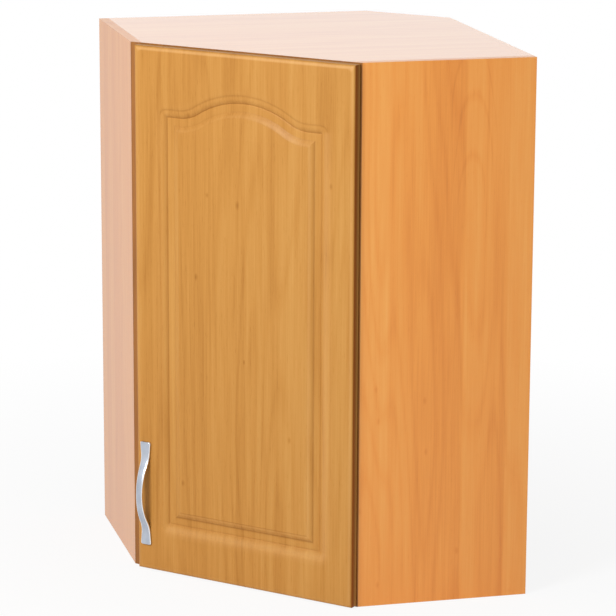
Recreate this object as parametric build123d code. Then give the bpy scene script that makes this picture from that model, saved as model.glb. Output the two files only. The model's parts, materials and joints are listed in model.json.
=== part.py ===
from build123d import *
import math
import os

# Corner wall cabinet with a diagonal door, hung in the corner of two walls.
# The origin is under the middle of the square that the two walls and the side depths span.
# +X points to the right-hand wall, +Y to the back wall, +Z up.  Millimetres.
# The carcass is symmetric about the vertical plane x = y, which halves the room's corner.

# ---- carcass ----
UNIT_SIDE = 600.0            # along each wall, from the corner of the room
UNIT_HEIGHT = 900.0
SIDE_DEPTH = 290.0           # depth of the two side panels
CORNER_CUT = 120.0           # rear corner cut off along each wall
BOARD = 16.0                 # chipboard of the carcass
BAND = 1.0                   # edge band on the front edges
BACK = 3.0                   # hardboard backs
BACK_SETBACK = 16.0          # from the wall to the back of the hardboard
GROOVE_DEPTH = 6.0
GROOVE_CLEARANCE = 0.1       # on each side of the hardboard
GROOVE_END_CLEARANCE = 0.5

# ---- shelves and their pins ----
SHELF_COUNT = 2
SHELF_SETBACK = 25.0
SHELF_CLEARANCE = 1.0
HOLE_PITCH = 32.0            # row of shelf pin holes
HOLES_PER_SHELF = 3
SMALL_HOLE_RADIUS = 2.5      # system holes for pins, plates and bolts
PIN_HOLE_DEPTH = 12.0
PIN_INSERT = 10.0
PIN_DROP = 4.5               # from the shelf's underside to the pin's middle
PIN_LEDGE = 9.0
PIN_WIDTH = 7.0
PIN_INSET_FRONT = 60.0       # from the shelf's front corner to the first column
PIN_INSET_BACK = 45.0        # from the hardboard to the second column

# ---- joinery ----
CAM_RADIUS = 7.5
CAM_DEPTH = 12.5
CAM_REACH = 34.0             # from the joint to the middle of the cam
CAM_FROM_FRONT = 56.0
CAM_FROM_BACK = 60.0
BOLT_HOLE_RADIUS = 4.0
BOLT_INSERT = 11.0
BOLT_RADIUS = 3.4            # head
BOLT_HEAD_START = 5.0        # before the cam's middle
BOLT_HEAD_END = 1.5
CAM_SLOT = (4.0, 0.6)        # half length and half width of the screwdriver slot
CAM_SLOT_DEPTH = 2.5
DOWEL_RADIUS = 4.0
DOWEL_IN_FACE = 10.0
DOWEL_IN_END = 20.0
DOWEL_SPARE = 1.0            # deeper hole behind each end
DOWEL_FROM_FRONT = 101.0
DOWEL_FROM_BACK = 105.0
POST_DOWEL_SHIFT = 50.0      # from the middle of the corner post
FIT = 0.05                   # radial clearance of dowels, bolts, pins and screws

# ---- door: foil-wrapped board with a routed arched panel ----
DOOR_THICKNESS = 16.0
DOOR_GAP = 2.0               # between the carcass and the door's back
DOOR_END_INSET = 1.5         # hinge end, from the right side panel's outer corner
DOOR_FREE_INSET = 18.0       # handle end, from the left side panel's outer corner
DOOR_MARGIN = 2.0            # top and bottom
EDGE_PROFILE = ((0.0, 3.5), (1.0, 1.9), (3.2, 0.9), (7.0, 0.5))    # inset, depth under the face
EDGE_CORNER = 8.0            # corner radius at the inner end of the edge profile
SHARP = 0.4                  # radius of corners that look pointed
PANEL_SIDE = 36.0            # door's edge to the outermost line of the routed panel
PANEL_BOTTOM = 60.0
PANEL_SHOULDER = 88.6        # down from the door's top edge
ARCH_RISE = 34.7
ARCH_GUIDE = 15.0            # inset of the contour that sets the arch
ARCH_LEVEL = 1.0             # level part of each shoulder, on the raised field
ARCH_HOLLOW = 58.0           # radius of the arch's hollow ends
COVE_PROFILE = ((0.0, 0.0), (8.0, 0.4), (12.2, 0.8), (13.2, 1.5), (19.0, 2.0), (23.5, 3.2), (26.5, 5.0))
FIELD_PROFILE = ((26.5, 5.0), (27.5, 4.3), (39.5, 4.2), (44.0, 1.9), (49.5, 0.3), (50.0, 0.0))

# ---- handle: wavy bow on two screws ----
HANDLE_CENTRES = 160.0
HANDLE_OVERHANG = 10.0       # from a screw to the end
HANDLE_FROM_SIDE = 18.5
HANDLE_FROM_BOTTOM = 134.5   # door's bottom to the handle's middle
HANDLE_RISE = 20.0
HANDLE_FLAT = 9.0            # flat end, from the screw towards the middle
HANDLE_HOLLOW = 45.0         # radius of the hollow bend
HANDLE_STRAP = 4.5
HANDLE_END_WIDTH = 20.0
HANDLE_WAIST = 12.0
HANDLE_FOOT_RADIUS = 2.5
HANDLE_SCREW_RADIUS = 2.0
HANDLE_SCREW_GRIP = 3.5      # screw's reach into the handle
SCREW_HEAD_RADIUS = 4.0
SCREW_HEAD = 2.0
BUMPER_RADIUS = 4.0
BUMPER_THICKNESS = 1.7
BUMPER_INSET = 14.0

# ---- hinges, in the plane of the front: a from the right corner to the left, b outward ----
HINGE_FROM_END = 100.0       # hinge's middle from the door's end
OUTER_ARM_PIVOT = (23.68, -5.968)
OUTER_CUP_PIVOT = (9.795, 7.505)
INNER_ARM_PIVOT = (60.0, -2.501)
INNER_CUP_PIVOT = (15.566, 4.515)
INNER_EYE_SHIFT = (1.01, 0.703)    # middle of the open eye from its pin, door closed
INNER_EYE_PLAY = 1.35        # radial room of the pin in the open eye
OUTER_BOW = -9.995           # mid-line's height over the chord
INNER_BOW = 4.127
PIVOT_RADIUS = 1.25
EYE_WALL = 1.2
LINK_WIDTH = 2.8
OUTER_LINK_HALF = 3.0        # half of the outer link's height
INNER_LINK_NEAR = 3.4        # the inner link's cheeks, from the hinge's middle
INNER_LINK_FAR = 5.4
ARM_NEAR = 5.8               # the arm's cheeks
ARM_FAR = 7.3
ARM_END_RADIUS = 3.8
CUP_FROM_EDGE = 3.784        # door's end to the cup
CUP_RADIUS = 17.5
CUP_DEPTH = 12.4
CUP_WALL = 0.8
CUP_FLOOR = 1.0
CUP_POCKET_HALF = 7.8
CUP_PIN_HALF = 9.8
CUP_FLANGE = 0.8
CUP_FLANGE_RIM = 2.0
CUP_SCREW_OFFSET = 9.5
CUP_SCREW_HALF = 22.5
CUP_SCREW_RADIUS = 2.0
CUP_SCREW_LENGTH = 11.0
PLATE_FROM_FRONT = 37.0      # front edge of the panel to the row of plate screws
PLATE_SCREW_HALF = 16.0
PLATE_BASE = 2.0
PLATE_HEIGHT = 10.0
PLATE_BACK = 24.0
PLATE_LEAD = 12.0
EURO_SCREW_LENGTH = 11.0
ARM_WEB = 1.5
ARM_ROOT_RADIUS = 4.6
ARM_SCREW_PLACES = (-6.0, 12.0)    # side setting screw and fixing screw
ARM_SCREW_RADIUS = 2.5
ARM_SCREW_DEPTH = 7.0

# ---- cabinet hangers in the two top rear corners ----
HANGER_WIDTH = 18.0
HANGER_DEPTH = 40.0
HANGER_HEIGHT = 62.0
HANGER_DROP = 8.0            # under the top panel
HANGER_CHAMFER = 8.0
HOOK_THICKNESS = 3.0
HOOK_INSET = 9.0             # side panel to the hook's middle
HOOK_HEIGHT = 14.0
NOTCH_CLEARANCE = 2.0
WALL_PLATE = 2.0
WALL_PLATE_WIDTH = 60.0
WALL_PLATE_WEB = 32.0
WALL_PLATE_LIP = 19.0
WALL_PLATE_STEP = 8.5        # lip's gap to the wall
WALL_HOLE_HALF = 16.0
WALL_HOLE_RADIUS = 2.75

# ---- derived places ----
HALF = UNIT_SIDE / 2
ROOT2 = math.sqrt(2)
INNER = HALF - BOARD                                 # inner face of a side panel
TOP_Z = UNIT_HEIGHT - BOARD                          # underside of the top panel
FRONT_WIDTH = (UNIT_SIDE - SIDE_DEPTH) * ROOT2
FRONT_SUM = -SIDE_DEPTH                              # x + y on the front
CORNER = HALF - CORNER_CUT
POST_SUM = HALF + CORNER - BOARD * ROOT2             # x + y on the post's inner face
POST_MIDDLE = (HALF + CORNER - BOARD / ROOT2) / 2
BACK_FACE = HALF - BACK_SETBACK                      # wall side of the hardboard
BACK_FRONT = BACK_FACE - BACK
SHELF_SUM = FRONT_SUM + SHELF_SETBACK * ROOT2        # x + y on the shelves' front
CLEAR_HEIGHT = (TOP_Z - BOARD - SHELF_COUNT * BOARD) / (SHELF_COUNT + 1)
SHELF_HEIGHTS = [BOARD + CLEAR_HEIGHT + i * (CLEAR_HEIGHT + BOARD) for i in range(SHELF_COUNT)]
DOOR_WIDTH = FRONT_WIDTH - DOOR_END_INSET - DOOR_FREE_INSET
DOOR_HEIGHT = UNIT_HEIGHT - 2 * DOOR_MARGIN
GROOVE_INSET = COVE_PROFILE[-1][0]                   # deep line round the raised field
ARCH_HALF = DOOR_WIDTH / 2 - PANEL_SIDE - FIELD_PROFILE[-1][0] - ARCH_LEVEL    # middle to the arch's start
CUP_CENTRE = DOOR_END_INSET + CUP_FROM_EDGE + CUP_RADIUS
HINGES = {
    "lower": DOOR_MARGIN + HINGE_FROM_END,
    "upper": UNIT_HEIGHT - DOOR_MARGIN - HINGE_FROM_END,
}
HANGER_TOP = TOP_Z - HANGER_DROP
HANGER_BOTTOM = HANGER_TOP - HANGER_HEIGHT
HOOK_TOP = HANGER_TOP - HANGER_CHAMFER - NOTCH_CLEARANCE
LIP_TOP = HOOK_TOP - HOOK_HEIGHT
WALL_HOLE_Z = LIP_TOP - WALL_PLATE_LIP - WALL_PLATE_WEB / 2

# a runs to the left along the front, b outward
FRONT = Plane(origin=(HALF - SIDE_DEPTH, -HALF, 0), x_dir=(-1, 1, 0), z_dir=(0, 0, 1))
# the door seen from outside, from the lower corner of its free end; z is outward from its back
DOOR = Plane(
    origin=FRONT.from_local_coords((FRONT_WIDTH - DOOR_FREE_INSET, DOOR_GAP, DOOR_MARGIN)),
    x_dir=(1, -1, 0),
    z_dir=(-1, -1, 0),
)
# the right side panel's inner face at the row of plate screws; x to the back, y off the panel
PLATE_SEAT = Plane(
    origin=(FRONT_SUM + INNER + PLATE_FROM_FRONT, -INNER, 0), x_dir=(1, 0, 0), z_dir=(0, 0, 1)
)
MIRROR_PLANE = Plane(origin=(0, 0, 0), z_dir=(1, -1, 0))


# ---- helpers ----

def prism(points, bottom, top):
    """Upright prism over a closed outline."""
    return Pos(0, 0, bottom) * extrude(make_face(Polyline(*points, close=True)), top - bottom)


def span(x0, x1, y0, y1, z0, z1):
    """Box between two corners."""
    return Pos((x0 + x1) / 2, (y0 + y1) / 2, (z0 + z1) / 2) * Box(x1 - x0, y1 - y0, z1 - z0)


def rod(radius, start, end):
    """Round bar along x."""
    return Pos((start + end) / 2, 0, 0) * Rot(0, 90, 0) * Cylinder(radius, end - start)


def drum(radius, bottom, top):
    """Round bar along z."""
    return Pos(0, 0, (bottom + top) / 2) * Cylinder(radius, top - bottom)


def mirrored(shape):
    """The same piece on the other wing of the cabinet."""
    return mirror(shape, about=MIRROR_PLANE)


def with_mirror(shapes):
    return shapes + [mirrored(shape) for shape in shapes]


def save(name, shapes):
    """One node; every solid in it stays a separate piece."""
    pieces = [piece for shape in shapes for piece in shape.solids()]
    export_step(Compound(pieces), f"parts/{name}.step")


# ---- joinery: each place is a frame on the butt joint, x into the panel that ends there ----

def side_joint(y, z, opening):
    """Where the top or bottom ends at the left side panel; a cam opens to z = +1 or -1."""
    return Plane(origin=(-INNER, y, z), x_dir=(1, 0, 0), z_dir=(0, 0, opening))


def post_joint(shift, z, into):
    """Where the corner post ends at the top or bottom; a cam opens to the inside."""
    along = shift / ROOT2
    origin = (POST_MIDDLE + along, POST_MIDDLE - along, z)
    return Plane(origin=origin, x_dir=(0, 0, into), z_dir=(-1, -1, 0))


def place_joinery(shape, left_places, post_places):
    left = [place * shape for place in left_places]
    return with_mirror(left) + [place * shape for place in post_places]


def place_cams(shape):
    levels = ((BOARD / 2, 1), (TOP_Z + BOARD / 2, -1))
    places = (FRONT_SUM + INNER + CAM_FROM_FRONT, HALF - CAM_FROM_BACK)
    left = [side_joint(y, z, opening) for y in places for z, opening in levels]
    post = [post_joint(0, BOARD, 1), post_joint(0, TOP_Z, -1)]
    return place_joinery(shape, left, post)


def place_dowels(shape):
    places = (FRONT_SUM + INNER + DOWEL_FROM_FRONT, HALF - DOWEL_FROM_BACK)
    left = [side_joint(y, z, 1) for y in places for z in (BOARD / 2, TOP_Z + BOARD / 2)]
    shifts = (-POST_DOWEL_SHIFT, POST_DOWEL_SHIFT)
    post = [post_joint(shift, z, into) for shift in shifts for z, into in ((BOARD, 1), (TOP_Z, -1))]
    return place_joinery(shape, left, post)


def cam_recess():
    housing = Pos(CAM_REACH, 0, 0) * drum(CAM_RADIUS, BOARD / 2 - CAM_DEPTH, BOARD / 2)
    return housing + rod(BOLT_HOLE_RADIUS, 0, CAM_REACH) + rod(SMALL_HOLE_RADIUS, -BOLT_INSERT, 0)


def cam_bolt():
    """Bolt held in the face panel, with the head that the cam grips."""
    shank = rod(SMALL_HOLE_RADIUS - FIT, -BOLT_INSERT, CAM_REACH - BOLT_HEAD_START)
    return shank + rod(BOLT_RADIUS, CAM_REACH - BOLT_HEAD_START, CAM_REACH - BOLT_HEAD_END)


def cam_lock():
    """Cam with the slot that grips the bolt's head, and a screwdriver slot."""
    grip = BOLT_RADIUS + FIT
    lock = Pos(CAM_REACH, 0, 0) * drum(CAM_RADIUS - FIT, BOARD / 2 - CAM_DEPTH, BOARD / 2)
    lock -= span(CAM_REACH - CAM_RADIUS, CAM_REACH, -grip, grip, -grip, grip)
    long_half, short_half = CAM_SLOT
    reach = (CAM_REACH - short_half, CAM_REACH + short_half)
    return lock - span(*reach, -long_half, long_half, BOARD / 2 - CAM_SLOT_DEPTH, BOARD / 2)


def dowel():
    return rod(DOWEL_RADIUS - FIT, -DOWEL_IN_FACE, DOWEL_IN_END)


def joinery_cuts():
    hole = rod(DOWEL_RADIUS, -DOWEL_IN_FACE - DOWEL_SPARE, DOWEL_IN_END + DOWEL_SPARE)
    return place_cams(cam_recess()) + place_dowels(hole)


# ---- shelf pins: each column is a frame on a panel, x into the cabinet's room ----

def pin_columns():
    front_y = SHELF_SUM + INNER + PIN_INSET_FRONT
    left = [
        Plane(origin=(-INNER, y, 0), x_dir=(1, 0, 0), z_dir=(0, 0, 1))
        for y in (front_y, BACK_FRONT - PIN_INSET_BACK)
    ]
    post = Plane(origin=(POST_SUM / 2, POST_SUM / 2, 0), x_dir=(-1, -1, 0), z_dir=(0, 0, 1))
    return left, [post]


def pin_cuts():
    """Rows of holes around each shelf's height."""
    reach = (HOLES_PER_SHELF - 1) / 2
    steps = [HOLE_PITCH * (i - reach) for i in range(HOLES_PER_SHELF)]
    heights = [shelf - PIN_DROP + step for shelf in SHELF_HEIGHTS for step in steps]
    hole = rod(SMALL_HOLE_RADIUS, -PIN_HOLE_DEPTH, 0)
    left, post = pin_columns()
    cuts = [column * Pos(0, 0, z) * hole for column in left for z in heights]
    return with_mirror(cuts) + [column * Pos(0, 0, z) * hole for column in post for z in heights]


def shelf_pin():
    """Steel pin with a flat ledge on a rib, its top level with the shelf's underside."""
    plate, ledge, rib = 1.2, 1.6, 2.0
    pin = Pos(0, 0, -PIN_DROP) * rod(SMALL_HOLE_RADIUS - FIT, -PIN_INSERT, plate)
    seat = span(0, plate, -PIN_WIDTH / 2, PIN_WIDTH / 2, -2 * PIN_DROP, 0)
    shelf_ledge = span(0, PIN_LEDGE, -PIN_WIDTH / 2, PIN_WIDTH / 2, -ledge, 0)
    web = Plane.XZ * make_face(Polyline((0, 0), (PIN_LEDGE - 1, -ledge / 2), (0, -2 * PIN_DROP), close=True))
    return pin + seat + shelf_ledge + extrude(web, rib / 2, both=True)


def shelf_pins():
    left, post = pin_columns()
    pin = shelf_pin()
    pins = [column * Pos(0, 0, z) * pin for column in left for z in SHELF_HEIGHTS]
    return with_mirror(pins) + [column * Pos(0, 0, z) * pin for column in post for z in SHELF_HEIGHTS]


# ---- carcass panels ----

def front_strip(bottom, top):
    """The strip that the edge band takes along the front."""
    return FRONT * span(-BOARD, FRONT_WIDTH + BOARD, -BAND, BAND, bottom, top)


def side_outline():
    """Left side panel in plan, its front edge cut flush with the diagonal front."""
    front = FRONT_SUM + HALF
    return [(-HALF, front), (-HALF, HALF), (-INNER, HALF), (-INNER, front - BOARD)]


def deck_outline():
    """Top and bottom panel in plan."""
    near = FRONT_SUM + INNER
    return [
        (-INNER, near), (-INNER, HALF), (CORNER, HALF), (HALF, CORNER), (HALF, -INNER), (near, -INNER)
    ]


def back_grooves():
    """Room for the two hardboard backs."""
    side = -INNER - GROOVE_DEPTH
    faces = (BACK_FRONT - GROOVE_CLEARANCE, BACK_FACE + GROOVE_CLEARANCE)
    end = POST_SUM - BACK_FRONT
    left = span(side, end, *faces, BOARD - GROOVE_DEPTH, TOP_Z + GROOVE_DEPTH)
    return with_mirror([left])


def hinge_plate_cuts():
    hole = Rot(0, 0, -90) * rod(SMALL_HOLE_RADIUS, 0, PIN_HOLE_DEPTH)
    levels = [z + shift for z in HINGES.values() for shift in (-PLATE_SCREW_HALF, PLATE_SCREW_HALF)]
    return [PLATE_SEAT * Pos(0, 0, z) * hole for z in levels]


def side_panels():
    blank = prism(side_outline(), 0, UNIT_HEIGHT) - front_strip(0, UNIT_HEIGHT)
    cuts = joinery_cuts() + pin_cuts() + back_grooves()
    left = blank - cuts
    right = mirrored(blank) - (cuts + hinge_plate_cuts())
    return left, right


def deck(bottom):
    """Top or bottom panel."""
    blank = prism(deck_outline(), bottom, bottom + BOARD) - front_strip(bottom, bottom + BOARD)
    return blank - (joinery_cuts() + back_grooves())


def corner_post():
    """Upright panel along the cut-off rear corner."""
    length = CORNER_CUT * ROOT2
    frame = Plane(origin=((HALF + CORNER) / 2, (HALF + CORNER) / 2, 0), x_dir=(1, -1, 0), z_dir=(0, 0, 1))
    blank = frame * span(-length / 2, length / 2, -BOARD, 0, BOARD, TOP_Z)
    return blank - (joinery_cuts() + pin_cuts())


def back_panel():
    """Left hardboard back, notched for the hanger's hook."""
    side = -INNER - GROOVE_DEPTH + GROOVE_END_CLEARANCE
    reach = GROOVE_DEPTH - GROOVE_END_CLEARANCE
    end = POST_SUM - BACK_FACE - GROOVE_END_CLEARANCE
    sheet = span(side, end, BACK_FRONT, BACK_FACE, BOARD - reach, TOP_Z + reach)
    notch_end = -INNER + HANGER_WIDTH
    notch_bottom = LIP_TOP - NOTCH_CLEARANCE
    return sheet - span(side, notch_end, BACK_FRONT, BACK_FACE, notch_bottom, TOP_Z + reach)


def shelf(bottom):
    side = -INNER + SHELF_CLEARANCE
    back = BACK_FRONT - SHELF_CLEARANCE
    post = POST_SUM - SHELF_CLEARANCE * ROOT2
    left = [(side, SHELF_SUM - side), (side, back), (post - back, back)]
    right = [(y, x) for x, y in reversed(left)]
    return prism(left + right, bottom, bottom + BOARD)


def shelf_front(bottom):
    """The strip that the edge band takes along a shelf's front."""
    return FRONT * span(
        0, FRONT_WIDTH, -SHELF_SETBACK - BAND, -SHELF_SETBACK + BAND, bottom, bottom + BOARD
    )


def front_edge_bands():
    """Bands of the two sides, the top and the bottom."""
    side = prism(side_outline(), 0, UNIT_HEIGHT) & front_strip(0, UNIT_HEIGHT)
    decks = [prism(deck_outline(), z, z + BOARD) & front_strip(z, z + BOARD) for z in (0, TOP_Z)]
    return with_mirror([side]) + decks


# ---- door ----

def rounded_contour(inset, corner):
    """Contour parallel to the door's edge."""
    width, height = DOOR_WIDTH - 2 * inset, DOOR_HEIGHT - 2 * inset
    return Pos(DOOR_WIDTH / 2, DOOR_HEIGHT / 2) * RectangleRounded(width, height, corner)


def arched_contour(inset):
    """Contour of the routed panel: square below, an arch between two shoulders above."""
    middle = DOOR_WIDTH / 2
    left, bottom = PANEL_SIDE + inset, PANEL_BOTTOM + inset
    shoulder = DOOR_HEIGHT - PANEL_SHOULDER - inset
    corner = max(GROOVE_INSET - inset, SHARP)
    radii = (ARCH_HALF**2 + ARCH_RISE**2) / (2 * ARCH_RISE)
    hollow = ARCH_HOLLOW + inset - ARCH_GUIDE
    crown = radii - hollow
    crown_y = shoulder + ARCH_RISE - crown
    turn = math.atan2(ARCH_HALF, radii - ARCH_RISE)
    half = CenterArc((middle, crown_y), crown, 90, math.degrees(turn))
    start = middle - ARCH_HALF
    left_side = [
        half,
        CenterArc((start, shoulder + hollow), hollow, -90, math.degrees(turn)),
        Line((start, shoulder), (left + corner, shoulder)),
        CenterArc((left + corner, shoulder - corner), corner, 90, 90),
        Line((left, shoulder - corner), (left, bottom + corner)),
        CenterArc((left + corner, bottom + corner), corner, 180, 90),
        Line((left + corner, bottom), (middle, bottom)),
    ]
    edges = Curve() + left_side
    centre = Plane(origin=(middle, 0, 0), z_dir=(1, 0, 0))
    return make_face(edges + mirror(edges, about=centre))


def stacked(contours):
    """Solid through level contours, with straight rulings; each is (face, height)."""
    return loft([Pos(0, 0, height) * face for face, height in contours], ruled=True)


def routed_pocket():
    """The cutter's whole path, down to the bottom of the deep line."""
    levels = [(arched_contour(inset), DOOR_THICKNESS - depth) for inset, depth in COVE_PROFILE]
    lip = (arched_contour(0.0), DOOR_THICKNESS + 1)
    return stacked([lip] + levels)


def raised_field():
    """The field inside the deep line."""
    return stacked([(arched_contour(inset), DOOR_THICKNESS - depth) for inset, depth in FIELD_PROFILE])


def door_blank():
    """Board with the moulded edge."""
    last = EDGE_PROFILE[-1][0]
    grow = (EDGE_CORNER - SHARP) / last
    levels = [
        (rounded_contour(inset, SHARP + grow * inset), DOOR_THICKNESS - depth)
        for inset, depth in EDGE_PROFILE
    ]
    face = rounded_contour(last, EDGE_CORNER)
    edge = stacked([(rounded_contour(0.0, SHARP), 0.0)] + levels)
    return edge + Pos(0, 0, levels[-1][1]) * extrude(face, DOOR_THICKNESS - levels[-1][1])


def handle_screw_points():
    middle = HANDLE_FROM_BOTTOM
    return [(HANDLE_FROM_SIDE, middle + side * HANDLE_CENTRES / 2) for side in (-1, 1)]


def door_panel():
    board = door_blank() - routed_pocket() + raised_field()
    for x, y in handle_screw_points():
        board -= Pos(x, y) * drum(HANDLE_SCREW_RADIUS + 0.25, 0, DOOR_THICKNESS)
    board = DOOR * board
    for z in HINGES.values():
        board -= hinge_place(z) * cup_recess()
    return board


# ---- handle, in the door's frame ----

def wavy_line(rise):
    """Right half of the bow's side view, from the middle to the end: two bends and a flat."""
    half, flat = HANDLE_CENTRES / 2, HANDLE_CENTRES / 2 - HANDLE_FLAT
    radii = (flat**2 + HANDLE_RISE**2) / (2 * HANDLE_RISE)
    turn = math.degrees(math.atan2(flat, radii - HANDLE_RISE))
    outer = radii - HANDLE_HOLLOW + rise
    hollow = HANDLE_HOLLOW - rise
    return [
        CenterArc((0, HANDLE_RISE + rise - outer), outer, 90 - turn, turn),
        CenterArc((flat, HANDLE_HOLLOW), hollow, 270 - turn, turn),
        Line((flat, rise), (half + HANDLE_OVERHANG, rise)),
    ]


def bow_profile():
    """Side view of the strap between its back and its front line."""
    end = HANDLE_CENTRES / 2 + HANDLE_OVERHANG
    half = Curve() + (wavy_line(0) + wavy_line(HANDLE_STRAP) + [Line((end, 0), (end, HANDLE_STRAP))])
    return make_face(half + mirror(half, about=Plane.YZ))


def bow_outline():
    """Front view: wide rounded ends and a waist."""
    end, wide = HANDLE_CENTRES / 2 + HANDLE_OVERHANG, HANDLE_END_WIDTH / 2
    corner = HANDLE_FOOT_RADIUS
    start = (end - corner, wide)
    upper = Curve() + [
        ThreePointArc((-end + corner, wide), (0, HANDLE_WAIST / 2), start),
        CenterArc((end - corner, wide - corner), corner, 0, 90),
        Line((end, wide - corner), (end, 0)),
        Line((-end, wide - corner), (-end, 0)),
        CenterArc((-end + corner, wide - corner), corner, 90, 90),
    ]
    return make_face(upper + mirror(upper, about=Plane.XZ))


def handle_place():
    """Frame on the door's face at the handle's middle, x up along the handle."""
    origin = DOOR.from_local_coords((HANDLE_FROM_SIDE, HANDLE_FROM_BOTTOM, DOOR_THICKNESS))
    return Plane(origin=origin, x_dir=(0, 0, 1), z_dir=DOOR.z_dir)


def handle():
    side = extrude(Plane.XZ * bow_profile(), HANDLE_END_WIDTH, both=True)
    strap = side & extrude(bow_outline(), HANDLE_RISE + 2 * HANDLE_STRAP)
    for shift in (-HANDLE_CENTRES / 2, HANDLE_CENTRES / 2):
        strap -= Pos(shift, 0) * drum(HANDLE_SCREW_RADIUS + FIT, 0, HANDLE_SCREW_GRIP + 0.2)
    return handle_place() * strap


def handle_screws():
    """Screws from the door's back into the handle."""
    screw = drum(SCREW_HEAD_RADIUS, -SCREW_HEAD, 0)
    screw = chamfer(screw.edges().group_by(Axis.Z)[0], 0.6)
    screw += drum(HANDLE_SCREW_RADIUS, -SCREW_HEAD / 2, DOOR_THICKNESS + HANDLE_SCREW_GRIP)
    return [DOOR * Pos(x, y) * screw for x, y in handle_screw_points()]


def door_bumpers():
    """Soft discs that meet the carcass when the door shuts."""
    disc = drum(BUMPER_RADIUS, -BUMPER_THICKNESS, 0)
    disc = chamfer(disc.edges().group_by(Axis.Z)[0], 0.5)
    return [DOOR * Pos(BUMPER_INSET, y) * disc for y in (BUMPER_INSET, DOOR_HEIGHT - BUMPER_INSET)]


# ---- hinges: built about their middle height in the front's frame ----

def hinge_place(z):
    return FRONT * Pos(0, 0, z)


def layer(face, near, far):
    """A flat shape's two copies, on both sides of the hinge's middle."""
    upper = Pos(0, 0, near) * extrude(face, far - near)
    return [upper, mirror(upper, about=Plane.XY)]


def disc_at(point, radius):
    return Pos(*point) * Circle(radius)


def bowed_strip(start, end, bow):
    """Strip along a bowed mid-line."""
    across, along = end[0] - start[0], end[1] - start[1]
    length = math.hypot(across, along)
    middle = ((start[0] + end[0]) / 2, (start[1] + end[1]) / 2)
    control = (middle[0] - 2 * bow * along / length, middle[1] + 2 * bow * across / length)
    return trace(Bezier(start, control, end), LINK_WIDTH)


def outer_link():
    """Single hooked link between the arm and the cup's edge."""
    eye = PIVOT_RADIUS + EYE_WALL
    shape = bowed_strip(OUTER_ARM_PIVOT, OUTER_CUP_PIVOT, OUTER_BOW)
    for pivot in (OUTER_ARM_PIVOT, OUTER_CUP_PIVOT):
        shape += disc_at(pivot, eye)
    for pivot in (OUTER_ARM_PIVOT, OUTER_CUP_PIVOT):
        shape -= disc_at(pivot, PIVOT_RADIUS + FIT)
    return extrude(shape, OUTER_LINK_HALF, both=True)


def inner_eye():
    return (INNER_CUP_PIVOT[0] + INNER_EYE_SHIFT[0], INNER_CUP_PIVOT[1] + INNER_EYE_SHIFT[1])


def inner_link():
    """Two long cheeks on one barrel; their far eyes are open, with room round the pin."""
    play = PIVOT_RADIUS + INNER_EYE_PLAY
    barrel = PIVOT_RADIUS + EYE_WALL
    cheek = bowed_strip(INNER_ARM_PIVOT, inner_eye(), INNER_BOW)
    cheek += disc_at(inner_eye(), play + EYE_WALL) + disc_at(INNER_ARM_PIVOT, barrel)
    cheek -= disc_at(inner_eye(), play)
    link = extrude(disc_at(INNER_ARM_PIVOT, barrel), INNER_LINK_FAR, both=True)
    link += layer(cheek, INNER_LINK_NEAR, INNER_LINK_FAR)
    return link - extrude(disc_at(INNER_ARM_PIVOT, PIVOT_RADIUS + FIT), INNER_LINK_FAR, both=True)


def through_pin(pivot, half):
    return extrude(disc_at(pivot, PIVOT_RADIUS), half, both=True)


def arm_pins():
    return [through_pin(pivot, ARM_FAR) for pivot in (OUTER_ARM_PIVOT, INNER_ARM_PIVOT)]


def cup_pins():
    """One pin through the cup, and two stubs that leave the outer link room between them."""
    near = (OUTER_LINK_HALF + INNER_LINK_NEAR) / 2
    return [through_pin(OUTER_CUP_PIVOT, CUP_PIN_HALF)] + layer(
        disc_at(INNER_CUP_PIVOT, PIVOT_RADIUS), near, CUP_PIN_HALF
    )


def cup_place():
    """Frame of the cup: z into the door from its back."""
    return Plane(origin=(CUP_CENTRE, DOOR_GAP, 0), x_dir=(1, 0, 0), z_dir=(0, 1, 0))


def cup_recess():
    """Bore in the door for the cup and its two screws."""
    bore = drum(CUP_RADIUS, 0, CUP_DEPTH)
    for side in (-CUP_SCREW_HALF, CUP_SCREW_HALF):
        bore += Pos(CUP_SCREW_OFFSET, side) * drum(CUP_SCREW_RADIUS, 0, CUP_SCREW_LENGTH)
    return cup_place() * bore


def hinge_cup():
    """Pressed cup with its flange, the links' pocket and the pin holes."""
    rim = CUP_RADIUS + CUP_FLANGE_RIM
    ear = CUP_SCREW_RADIUS + 2 * CUP_FLANGE_RIM
    ears = [Pos(CUP_SCREW_OFFSET, side) * Circle(ear) for side in (-CUP_SCREW_HALF, CUP_SCREW_HALF)]
    flange = make_hull((Circle(rim) + ears).edges())
    cup = drum(CUP_RADIUS - FIT, 0, CUP_DEPTH) + Pos(0, 0, -CUP_FLANGE) * extrude(flange, CUP_FLANGE)
    inside = CUP_RADIUS - CUP_WALL
    room = drum(inside, -CUP_FLANGE, CUP_DEPTH - CUP_FLOOR)
    room &= span(-inside, inside, -CUP_POCKET_HALF, CUP_POCKET_HALF, -CUP_FLANGE, CUP_DEPTH)
    cup -= room
    for side in (-CUP_SCREW_HALF, CUP_SCREW_HALF):
        cup -= Pos(CUP_SCREW_OFFSET, side) * drum(CUP_SCREW_RADIUS + FIT, -CUP_FLANGE, 0)
    cup = cup_place() * cup
    for pivot in (OUTER_CUP_PIVOT, INNER_CUP_PIVOT):
        cup -= extrude(disc_at(pivot, PIVOT_RADIUS), CUP_PIN_HALF, both=True)
    return cup


def cup_screws():
    screw = drum(CUP_SCREW_RADIUS, -CUP_FLANGE, CUP_SCREW_LENGTH)
    screw += drum(SCREW_HEAD_RADIUS - 1, -CUP_FLANGE - SCREW_HEAD / 2, -CUP_FLANGE)
    sides = (-CUP_SCREW_HALF, CUP_SCREW_HALF)
    return [cup_place() * Pos(CUP_SCREW_OFFSET, side) * screw for side in sides]


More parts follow.
